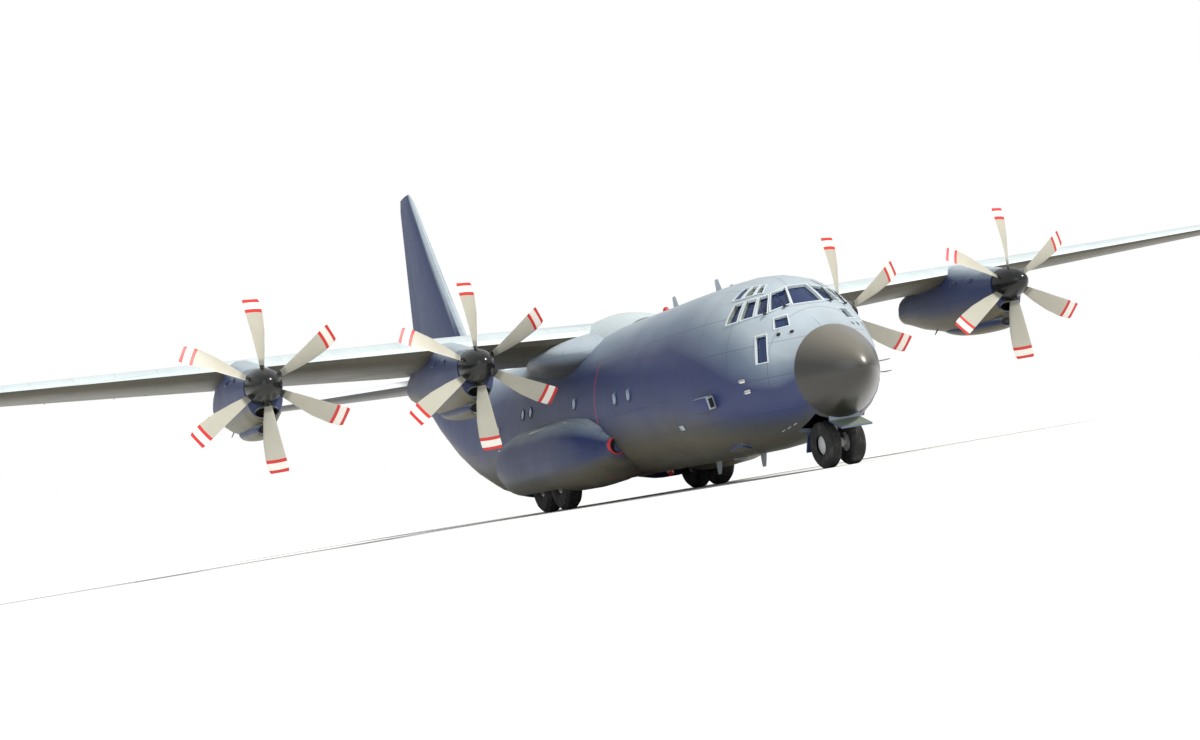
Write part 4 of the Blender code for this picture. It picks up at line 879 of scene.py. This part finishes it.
def make_propellers():
    for number, (x, z) in ENGINES.items():
        mesh = bmesh.new()
        hub = Vector((x, PROP_STATION, z))
        for blade in range(BLADE_COUNT):
            make_blade(mesh, hub, 360 / BLADE_COUNT * blade)
        turned(mesh, SPINNER, swung(hub, -90, "X"), steps=48)
        name = f"propeller_{number}"
        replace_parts(piece(f"{name}_dress", mesh, name, name, sharp=50), name)


# Wheels


# Outer radius, width and rim radius
MAIN_TYRE, NOSE_TYRE = (0.71, 0.50, 0.27), (0.495, 0.33, 0.205)


def tyre_profile(radius, width, rim):
    """The outline of a tyre with rounded shoulders and grooves round its tread."""
    half = width / 2
    shoulder = radius - 0.07 * radius / MAIN_TYRE[0]
    outline = [
        (rim + 0.001, -half * 0.69), (rim + 0.02, -half * 0.76), ((shoulder + rim) / 2, -half * 0.985),
        (shoulder - 0.02, -half * 0.93), (shoulder, -half * 0.855),
        ((shoulder + radius) / 2, -half * 0.70), (radius - 0.004, -half * 0.56),
    ]
    sidewall = len(outline)
    for groove in (-0.42, -0.16, 0.10, 0.36):
        outline += [
            (radius - 0.001, half * groove), (radius - 0.014, half * (groove + 0.015)),
            (radius - 0.014, half * (groove + 0.045)), (radius - 0.001, half * (groove + 0.06)),
        ]
    return outline + [(r, -h) for r, h in reversed(outline[:sidewall])]


def make_tyre(name, node, body, sizes, centre, steps):
    mesh = bmesh.new()
    turned(mesh, tyre_profile(*sizes), swung(centre, 90, "Y"), steps)
    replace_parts(piece(name, mesh, "tyre", body), node)


def make_wheels():
    for side, name in SIDES:
        for label, station in MAIN_AXLES.items():
            make_tyre(
                f"tyre_{name}_{label}", f"main_tyre_{name}_{label}", f"main_wheel_{name}_{label}",
                MAIN_TYRE, (side * MAIN_WHEEL_X, station, MAIN_TYRE[0]), 64,
            )
        make_tyre(
            f"nose_tyre_{name}_dress", f"nose_tyre_{name}", "nose_wheels",
            NOSE_TYRE, (side * NOSE_WHEEL_X, NOSE_GEAR, NOSE_TYRE[0]), 56,
        )


# Smooth forms over the plainer solids

RADOME_STEPS, RADOME_POINT, RADOME_DROOP, RADOME_GAP = 24, 1.72, 0.06, 0.006


def section_ring(row, centre=(0.0, 0.0, 0.0), count=48, grow=0.0):
    """Points round a section at its station."""
    ring = []
    for angle in turns(count, 0.5):
        across, up = math.cos(angle), math.sin(angle)
        exponent = row.roof if up > 0 else row.belly
        height = row.top - row.middle if up > 0 else row.middle - row.bottom
        ring.append(Vector(centre) + Vector((
            math.copysign(abs(across) ** (2 / exponent), across) * (row.half_width + grow),
            row.station,
            row.middle + math.copysign(abs(up) ** (2 / exponent), up) * (height + grow),
        )))
    return ring


def make_radome():
    """A rounded cone from a small flat tip to the hull's first ring, the tip a little low."""
    base = HULL[0]
    rings = []
    shares = [(i + 0.5) / (RADOME_STEPS + 0.5) for i in range(RADOME_STEPS + 1)]
    start = shares[0] ** RADOME_POINT
    for share in shares:
        along = (share ** RADOME_POINT - start) / (1 - start)
        row = scaled(base, (base.station - RADOME_GAP) * along, share)._replace(roof=base.belly)
        rings.append(section_ring(row, (0, 0, -RADOME_DROOP * (1 - share))))
    mesh = bmesh.new()
    loft(mesh, rings)
    item = piece("radome_dress", mesh, "radome", sharp=60)
    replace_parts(item, "radome")


def form_rings(rows, steps, centre=(0.0, 0.0, 0.0), count=48):
    """Rings at even steps along the smooth body of a table."""
    form = Form(rows)
    first, last = rows[0].station, rows[-1].station
    stations = [first + (last - first) * i / steps for i in range(steps + 1)]
    return [section_ring(form.section(station), centre, count) for station in stations]


def make_fillet():
    mesh = bmesh.new()
    loft(mesh, form_rings(ROOT_FILLET, 24))
    piece("wing_root_fillet", mesh, "fairing", sharp=60)


def oval(centre, half_width, half_height, station):
    return [
        Vector(centre) + Vector((half_width * math.cos(turn), station, half_height * math.sin(turn)))
        for turn in turns(32)
    ]


# A lip's section: share of its edge outside the mouth, and distance aft of the mouth
LIP = ((1.0, 0.10), (0.95, 0.02), (0.7, -0.022), (0.35, -0.034), (0.0, -0.022))
THROAT_INSET, THROAT_BACK = 0.008, 0.06


def lip_and_duct(lips, ducts, centre, sizes, station, depth, edge=0.045):
    """A rounded lip round an oval mouth that faces forward, and the dark duct behind it."""
    a, b = sizes
    rings = [oval(centre, a + edge * out, b + edge * out, station + back) for out, back in LIP]
    rings.append(oval(centre, a - THROAT_INSET, b - THROAT_INSET, station + THROAT_BACK))
    loft(lips, rings, capped=False)
    loft(ducts, [
        oval(centre, a - THROAT_INSET, b - THROAT_INSET, station + 0.05),
        oval(centre, a * 0.9, b * 0.9, station + depth),
        oval(centre, 0.01, 0.01, station + depth + 0.01),
    ], capped=False)


# Below the shaft: the engine intake and the cooler's mouth; then the jet pipe's radii and stations
INTAKE_STATION = 0.30
COOLER_DROP, COOLER_STATION, COOLER_MOUTH = 0.98, 0.50, (0.215, 0.125)
PIPE_DROP = 0.05
PIPE = (
    (0.0, 5.30), (0.255, 5.30), (0.270, 5.60), (0.272, 5.85),
    (0.286, 5.85), (0.296, 5.60), (0.318, 5.20), (0.0, 5.20),
)
MAST_STATION, MAST_X = 3.9, 0.22
VENT_STATIONS = (1.3, 2.1)


def make_power_plants():
    lips, ducts, scoops, pipes, masts = new_meshes(5)
    for number, (x, z) in ENGINES.items():
        form = nacelle_forms[number]
        mouth = (x, PROP_STATION, z - INTAKE_DROP)
        lip_and_duct(lips, ducts, mouth, (INTAKE_HALF_WIDTH, INTAKE_HALF_HEIGHT), INTAKE_STATION, 0.5)
        loft(scoops, form_rings(COOLER, 18, (x, PROP_STATION, z), 32))
        mouth = (x, PROP_STATION, z - COOLER_DROP)
        lip_and_duct(lips, ducts, mouth, COOLER_MOUTH, COOLER_STATION, 0.012, 0.035)
        turned(pipes, PIPE, swung((x, PROP_STATION, z - PIPE_DROP), -90, "X"), 36)
        for side in (-1, 1):
            seat = form.seat((x + side * MAST_X, PROP_STATION + MAST_STATION, z - 0.2), (0, 0, -1))
            fin_blade(masts, seat, 0.10, 0.05, 0.13, 0.03)
            for station in VENT_STATIONS:
                seat = form.seat((x, PROP_STATION + station, z + 0.1), (side, 0, 0.45))
                block(masts, (0, 0, 0.008), (0.30, 0.13, 0.03), 0.012, seat)
    piece("intake_lips", lips, "nacelle", sharp=60)
    piece("intake_ducts", ducts, "dark")
    piece("oil_cooler_scoops", scoops, "nacelle", sharp=60)
    piece("jet_pipes", pipes, "engine", sharp=50)
    piece("nacelle_masts", masts, "nacelle")


# The pod's nose: stations and shares of its first section; then its intake and the pale strip, a painted
# highlight along the pod's top
POD_NOSE = (
    (9.92, 1.0), (9.86, 0.985), (9.80, 0.95), (9.74, 0.88),
    (9.68, 0.76), (9.63, 0.58), (9.60, 0.36), (9.59, 0.12),
)
POD_INTAKE = (1.98, 9.60, 1.36)
POD_RING = ((0.185, -0.04), (0.19, 0.01), (0.205, 0.025), (0.225, 0.015), (0.235, -0.22))
POD_THROAT = ((0.0, -0.03), (0.12, -0.03), (0.187, -0.005), (0.187, -0.03))
POD_HIGHLIGHT_STRIP = ((2.40, 11.85, 2.185), (2.575, 14.44, 2.145))


def scaled(row, station, share):
    """A section made smaller about its middle, at another station."""
    return row._replace(
        station=station, half_width=row.half_width * share,
        top=row.middle + (row.top - row.middle) * share,
        bottom=row.middle - (row.middle - row.bottom) * share,
    )


def mirrored(point, side):
    return Vector((side * point[0], point[1], point[2]))


def make_sponson_noses():
    domes, lips, ducts, highlight_strips = new_meshes(4)
    for side in (-1, 1):
        centre = (side * SPONSON_X, 0, 0)
        loft(domes, [section_ring(scaled(SPONSON[0], *row), centre) for row in POD_NOSE])
        front = swung(mirrored(POD_INTAKE, side), 90, "X")
        turned(lips, POD_RING, front, 36)
        turned(ducts, POD_THROAT, front, 36)
        # the pale strip along the pod's top is a painted highlight, raised a little off the skin
        start, end = (mirrored(point, side) for point in POD_HIGHLIGHT_STRIP)
        block(highlight_strips, (0, 0, 0), (0.05, 0.05, (end - start).length), 0.012, aim(start, end))
    piece("sponson_noses", domes, "hull", sharp=60)
    piece("sponson_intake_rings", lips, "red", sharp=50)
    piece("sponson_intakes", ducts, "dark")
    piece("sponson_strips", highlight_strips, "pale")


# Small parts on the skin

MID_HULL = 2.3


def fin_blade(mesh, seat, chord, tip, height, thickness):
    """A swept blade that stands on the skin."""
    rings = []
    for share in (0.0, 0.85, 1.0):
        length = chord + (tip - chord) * share * (1.0 if share < 1 else 1.15)
        rings.append([(
            length * math.cos(angle) / 2 + (chord - tip) * share * 0.5,
            thickness * (1 - share * 0.4) * math.sin(angle) / 2,
            -0.03 + (height + 0.03) * share,
        ) for angle in turns(16)])
    before = set(mesh.verts)
    loft(mesh, rings)
    moved(mesh, before, seat)


# Blades by x, station and the side of the hull they stand on, then boxes below and beacons
AERIALS = (
    (0, 6.5, 1), (0, 9.2, 1), (0, 21.5, 1), (0.6, 7.2, 1), (0, 5.6, -1), (0, 8.2, -1), (-0.44, 20.47, -1),
)
BELLY_BOXES = (18.2, 6.9)
BEACONS = ((9.9, 1), (11.4, -1))
BEACON_DOME = ((0.085, -0.02), (0.085, 0.05), (0.07, 0.10), (0.04, 0.13), (0.0, 0.14))


def make_aerials():
    mesh, lamps = new_meshes(2)
    for x, station, up in AERIALS:
        fin_blade(mesh, hull_form.seat((x, station, MID_HULL), (0, 0, up)), 0.36, 0.20, 0.30, 0.045)
    for station in BELLY_BOXES:
        seat = hull_form.seat((0, station, MID_HULL), (0, 0, -1))
        block(mesh, (0, 0, 0), (0.55, 0.16, 0.08), 0.03, seat)
    for station, up in BEACONS:
        turned(lamps, BEACON_DOME, hull_form.seat((0, station, MID_HULL), (0, 0, up)), 24)
    piece("aerials", mesh, "pale")
    piece("beacons", lamps, "red_lamp")


# Stations and heights of the small parts at the nose
SCOOP, CHIN_BOX, SIDE_MARK = (3.75, 1.80), (4.2, 1.6), (5.3, 1.4)
PROBES = ((2.50, 2.10), (2.42, 1.86))
SENSORS = ((1.62, 2.82), (1.82, 2.78))
CHIN_BOX_X, DASH_STATIONS = 1.15, (2.08, 2.30, 2.52)
SENSOR_RIM = ((0.050, 0.0), (0.052, 0.010), (0.066, 0.010), (0.070, -0.004))
SENSOR_HOLE = ((0.0, 0.004), (0.051, 0.004), (0.051, -0.004))


def make_scoop(body, pale, dark):
    """The box on the right side, open at both ends."""
    station, z = SCOOP
    seat = hull_form.seat((0, station, z), (-1, 0, 0))
    block(body, (0, 0, 0.08), (0.58, 0.33, 0.24), 0.05, seat)
    for end in (-1, 1):
        block(pale, (end * 0.285, 0, 0.09), (0.025, 0.27, 0.17), 0.008, seat)
        block(dark, (end * 0.292, 0, 0.09), (0.022, 0.21, 0.115), 0.006, seat)


def make_probe(mesh, seat):
    """A bent tube on a plate, that points forward."""
    block(mesh, (0, 0, 0), (0.16, 0.08, 0.02), 0.006, seat)
    foot, elbow = seat @ Vector((0.02, 0, 0)), seat @ Vector((-0.03, 0, 0.13))
    bar(mesh, foot, elbow, 0.016, sides=12)
    bar(mesh, elbow + Vector((0, 0.02, 0)), elbow + Vector((0, -0.26, 0)), 0.016, 0.010, 12)


def make_nose_parts():
    body, pale, dark, metal = new_meshes(4)
    make_scoop(body, pale, dark)
    for side in (-1, 1):
        for station, z in PROBES:
            make_probe(metal, hull_form.seat((0, station, z), (side, 0, 0)))
        for station, z in SENSORS:
            seat = hull_form.seat((0, station, z), (side, 0, 0.15))
            turned(pale, SENSOR_RIM, seat, 24)
            turned(dark, SENSOR_HOLE, seat, 24)
        seat = hull_form.seat((side * CHIN_BOX_X, *CHIN_BOX), (0, 0, -1))
        block(body, (0, 0, 0), (0.70, 0.28, 0.14), 0.055, seat)
        for station in DASH_STATIONS:
            seat = hull_form.seat((0, station, 1.9), (side, 0, -1.12))
            block(pale, (0, 0, 0.002), (0.13, 0.022, 0.010), 0.0, seat)
        seat = hull_form.seat((0, *SIDE_MARK), (side, 0, 0))
        block(pale, (0, 0, 0.002), (0.22, 0.12, 0.012), 0.004, seat)
    piece("nose_scoop", body, "hull")
    piece("nose_pale_trim", pale, "pale")
    piece("nose_openings", dark, "dark")
    piece("probes", metal, "lip")


# Doors and hold

DOOR_HANDLE, HINGE_STATION, HINGE_HEIGHTS = (0, 18.72, 1.95), 18.56, (1.35, 1.65, 2.55)
STEP_STATION, CREW_STEPS = 3.38, ((1.52, 1.30), (1.62, 1.56), (1.70, 1.82))
RAMP_START, RAMP_TIP, TREADS = Vector((0, 20.965, 1.04)), Vector((0, 23.985, 1.961)), 12
FLOOR_LINE = 1.052
RAIL_X, RAIL_MIDDLE, RAIL_LENGTH = (-1.2, -0.4, 0.4, 1.2), 12.3, 16.4
TIE_DOWN_X = (-0.8, 0.0, 0.8)
TIE_DOWN_RING = [(0.05 + 0.010 * math.cos(turn), 0.010 * math.sin(turn)) for turn in turns(8)]
TIE_DOWN_STATIONS = (5.0, 6.3, 7.6, 8.9, 10.2, 11.5, 16.6, 17.9, 19.2, 20.4)
HOOP_STATIONS = (4.5, 5.5, 6.5, 7.4, 8.4, 9.3, 10.3, 11.3, 12.2, 16.4, 17.3, 18.2, 19.8, 20.7)
HOOP_SECTION = ((-0.04, -0.125), (-0.04, -0.19), (0.04, -0.19), (0.04, -0.125))


def make_doors_trim():
    handles = bmesh.new()
    for side in (-1, 1):
        seat = hull_form.seat(DOOR_HANDLE, (side, 0, 0))
        block(handles, (0, 0, 0.012), (0.20, 0.05, 0.025), 0.008, seat)
        for z in HINGE_HEIGHTS:
            seat = hull_form.seat((0, HINGE_STATION, z), (side, 0, 0))
            block(handles, (-0.05, 0, 0.008), (0.10, 0.12, 0.03), 0.01, seat)
    piece("door_handles", handles, "pale")
    steps = bmesh.new()
    for x, z in CREW_STEPS:
        block(steps, (x, STEP_STATION, z), (0.16, 0.50, 0.03), 0.008)
    piece("crew_door_steps", steps, "floor", "crew_door")


def make_ramp_treads():
    along = (RAMP_TIP - RAMP_START).normalized()
    out = Vector((0, -along.z, along.y))
    tilt = Matrix((Vector((1, 0, 0)), along, out)).transposed().to_4x4()
    mesh = bmesh.new()
    for i in range(TREADS):
        share = 0.10 + 0.82 * i / (TREADS - 1)
        spot = RAMP_START + (RAMP_TIP - RAMP_START) * share + out * 0.006
        block(mesh, (0, 0, 0), (2.3, 0.04, 0.024), 0.004, Matrix.Translation(spot) @ tilt)
    piece("ramp_treads", mesh, "floor", "cargo_ramp")


def make_hold_parts():
    rails = bmesh.new()
    for x in RAIL_X:
        block(rails, (x, RAIL_MIDDLE, FLOOR_LINE), (0.06, RAIL_LENGTH, 0.024), 0.004)
    for station in TIE_DOWN_STATIONS:
        for x in TIE_DOWN_X:
            spot = Matrix.Translation((x, station, FLOOR_LINE))
            turned(rails, TIE_DOWN_RING, spot, 20, closed=True)
    piece("floor_rails", rails, "floor")
    hoops = bmesh.new()
    for station in HOOP_STATIONS:
        row = hull_form.section(station)._replace(station=0.0)
        loft(hoops, [
            section_ring(row, (0, station + back, 0), 48, inset) for back, inset in HOOP_SECTION
        ], capped=False)
    piece("hold_hoops", hoops, "inside")


# Cockpit: screens on the panel, control columns and engine levers
SCREEN_X, PANEL, SCREEN_TILT = (-1.0, -0.56, 0.0, 0.56, 1.0), (2.335, 2.86), 7.5
PILOT_X, LEVERS = 0.62, 4


def make_cockpit_parts():
    mesh, screens = new_meshes(2)
    for x in SCREEN_X:
        spot = swung((x, *PANEL), -SCREEN_TILT, "X")
        block(mesh, (0, 0, 0), (0.38, 0.024, 0.30), 0.008, spot)
        block(screens, (0, 0.014, 0), (0.33, 0.008, 0.25), 0.0, spot)
    for x in (-PILOT_X, PILOT_X):
        bar(mesh, (x, 2.40, 2.16), (x, 2.40, 2.66), 0.022)
        bar(mesh, (x - 0.14, 2.42, 2.70), (x + 0.14, 2.42, 2.70), 0.020)
    for i in range(LEVERS):
        block(mesh, (-0.09 + i * 0.06, 2.46, 2.76), (0.025, 0.05, 0.10), 0.006)
    piece("cockpit_controls", mesh, "dark")
    piece("screens", screens, "screen")


# Landing gear


TAXI_LAMP = ((0.0, -0.05), (0.05, -0.05), (0.085, -0.01), (0.092, 0.03), (0.082, 0.03), (0.0, 0.028))
LAMP_GLASS = ((0.0, 0.040), (0.05, 0.037), (0.080, 0.030), (0.0, 0.030))


def make_links(mesh, x, top, elbow, foot, radius, half_pin, pin_radius):
    """Two arms that meet at an elbow pin, by stations and heights."""
    points = [Vector((x, *point)) for point in (top, elbow, foot)]
    bar(mesh, points[0], points[1], radius)
    bar(mesh, points[1], points[2], radius)
    reach = Vector((half_pin, 0, 0))
    bar(mesh, points[1] - reach, points[1] + reach, pin_radius)


def make_gear_parts():
    cylinders, chrome, sleeves = new_meshes(3)
    for side, name in SIDES:
        x = side * STRUT_X
        for label, y in MAIN_AXLES.items():
            for mesh, low, high, radius in (
                (cylinders, 1.16, 1.72, 0.105), (cylinders, 1.13, 1.20, 0.112),
                (chrome, 0.80, 1.14, 0.089), (sleeves, 0.61, 0.81, 0.098),
            ):
                bar(mesh, (x, y, low), (x, y, high), radius, sides=32)
            make_links(
                cylinders, x, (y + 0.10, 1.18), (y + 0.30, 0.95), (y + 0.09, 0.70), 0.028, 0.06, 0.034,
            )
            add_wheel_cap(side, name, label, y)
    y = NOSE_GEAR
    for low, high in ((1.16, 1.30), (1.48, 1.60)):
        bar(cylinders, (0, y, low), (0, y, high), 0.118, sides=32)
    for x in (-0.14, 0.14):
        bar(cylinders, (x, y - 0.06, 1.20), (x, y - 0.06, 1.52), 0.035)
    piece("gear_cylinders", cylinders, "gear")
    piece("gear_chrome", chrome, "chrome")
    piece("gear_sleeves", sleeves, "rim")
    make_steered_parts()


def make_steered_parts():
    """What turns with the nose wheels: the bright tube, the links and the taxi light."""
    y = NOSE_GEAR
    tube, links, glass = new_meshes(3)
    bar(tube, (0, y, 0.62), (0, y, 0.925), 0.079, sides=32)
    piece("nose_chrome", tube, "chrome", "nose_steering")
    make_links(links, 0, (y + 0.11, 1.00), (y + 0.26, 0.82), (y + 0.10, 0.60), 0.022, 0.05, 0.028)
    forward = swung((0, y - 0.17, 0.98), 90, "X")
    turned(links, TAXI_LAMP, forward)
    piece("nose_links", links, "gear", "nose_steering")
    turned(glass, LAMP_GLASS, forward)
    piece("taxi_light", glass, "window", "nose_steering")


WHEEL_CAP = ((0.0, 0.022), (0.07, 0.020), (0.095, 0.010), (0.105, -0.03), (0.0, -0.03))
WHEEL_BOLT = ((0.0, 0.012), (0.016, 0.012), (0.016, -0.03), (0.0, -0.03))
BOLT_COUNT, BOLT_CIRCLE = 10, 0.165


def add_wheel_cap(side, name, label, station):
    """A cap and a ring of bolts on the wheel's outer face."""
    rim = NODES[f"main_rim_{name}_{label}"].data
    face = max(abs(vertex.co.x) for vertex in rim.vertices) / SCALE
    mesh = bmesh.new()
    out = swung((side * face, station, MAIN_TYRE[0]), 90 * side, "Y")
    turned(mesh, WHEEL_CAP, out, 32)
    for turn in turns(BOLT_COUNT):
        spot = Matrix.Translation((BOLT_CIRCLE * math.cos(turn), BOLT_CIRCLE * math.sin(turn), 0.0))
        turned(mesh, WHEEL_BOLT, out @ spot, 6)
    piece(f"wheel_cap_{name}_{label}", mesh, "gear", f"main_wheel_{name}_{label}")


# Wing tips and trailing edges


def far_edge(node):
    """The two ends of a surface's trailing edge, full-size."""
    points = [full(vertex.co) for vertex in NODES[node].data.vertices]
    ends = []
    for extreme in (min(point.x for point in points), max(point.x for point in points)):
        end_points = [point for point in points if abs(point.x - extreme) < 0.02]
        ends.append(max(end_points, key=lambda point: point.y))
    return ends


WICKS = {"aileron": (0.15, 0.4, 0.65, 0.9), "elevator": (0.3, 0.6, 0.9)}


def make_tips():
    """Lights at the wing tips and static wicks on the trailing edges."""
    for name, colour in (("left", "red_lamp"), ("right", "green_lamp")):
        points = [full(vertex.co) for vertex in NODES[f"wing_outer_{name}"].data.vertices]
        tip = min((point for point in points if abs(point.x) > 19.7), key=lambda point: point.y)
        mesh = bmesh.new()
        shape = Matrix.Translation(tip + Vector((0, 0.06, 0))) @ Matrix.Diagonal((0.07, 0.16, 0.045, 1.0))
        bmesh.ops.create_uvsphere(mesh, u_segments=20, v_segments=12, radius=1.0, matrix=shape)
        piece(f"navigation_light_{name}", mesh, colour)
        for surface, shares in WICKS.items():
            node = f"{surface}_{name}"
            near, far = far_edge(node)
            mesh = bmesh.new()
            for share in shares:
                root = near + (far - near) * share
                bar(mesh, root + Vector((0, -0.03, 0)), root + Vector((0, 0.16, -0.01)), 0.010, 0.004, 8)
            piece(f"static_wicks_{node}", mesh, "dark", node)


# Stage


def make_stage():
    mesh = bmesh.new()
    bmesh.ops.create_circle(mesh, cap_ends=True, segments=64, radius=120.0)
    data = bpy.data.meshes.new("floor")
    mesh.to_mesh(data)
    mesh.free()
    floor = shown(bpy.data.objects.new("floor", data))
    finish = Finish("floor_paint", (0.84, 0.84, 0.83), 1.0, Specular_IOR_Level=0.0)
    data.materials.append(finish.material)

    world = bpy.data.worlds.new("studio")
    bpy.context.scene.world = world
    world.use_nodes = True
    nodes, links = world.node_tree.nodes, world.node_tree.links
    back = nodes["Background"]
    back.inputs["Color"].default_value = (0.93, 0.96, 1.0, 1.0)
    back.inputs["Strength"].default_value = 0.62
    kinds = ("ShaderNodeBackground", "ShaderNodeLightPath", "ShaderNodeMixShader")
    seen, path, choice = (nodes.new(kind) for kind in kinds)
    seen.inputs["Color"].default_value = (1.0, 1.0, 1.0, 1.0)
    for start, end in (
        (path.outputs["Is Camera Ray"], choice.inputs[0]), (back.outputs[0], choice.inputs[1]),
        (seen.outputs[0], choice.inputs[2]), (choice.outputs[0], nodes["World Output"].inputs["Surface"]),
    ):
        links.new(start, end)

    for name, place, energy, angle, colour in (
        ("key_light", (10, -12, 17), 3.3, 6, (1.0, 0.97, 0.92)),
        ("fill_light", (-16, -10, 7), 0.35, 40, (0.85, 0.92, 1.0)),
    ):
        light = bpy.data.lights.new(name, "SUN")
        light.energy = energy
        light.angle = math.radians(angle)
        light.color = colour
        lamp = shown(bpy.data.objects.new(name, light))
        lamp.location = place
        lamp.rotation_euler = (-Vector(place)).to_track_quat("-Z", "Y").to_euler()
    bpy.context.scene.view_settings.view_transform = "Standard"


def make_camera():
    """At floor level, on the photograph's bearing and with its tilt."""
    data = bpy.data.cameras.new("camera")
    data.sensor_width = 36.0
    data.lens = 59.29
    data.clip_end = 400.0
    camera = shown(bpy.data.objects.new("camera", data))
    spot, target, tilt = Vector((-9.417, -26.369, 0.12)), Vector((0.349, 0.0, 1.871)), math.radians(9.5)
    camera.location = spot
    turn = (target - spot).to_track_quat("-Z", "Y").to_matrix() @ Matrix.Rotation(-tilt, 3, "Z")
    camera.rotation_euler = turn.to_euler()
    bpy.context.scene.camera = camera


def main():
    make_camera()
    make_stage()
    dress_airframe()
    make_radome()
    make_window_frames()
    make_wipers()
    make_round_windows()
    make_fillet()
    make_power_plants()
    make_sponson_noses()
    make_aerials()
    make_nose_parts()
    make_doors_trim()
    make_ramp_treads()
    make_hold_parts()
    make_cockpit_parts()
    make_propellers()
    make_wheels()
    make_gear_parts()
    make_tips()


main()
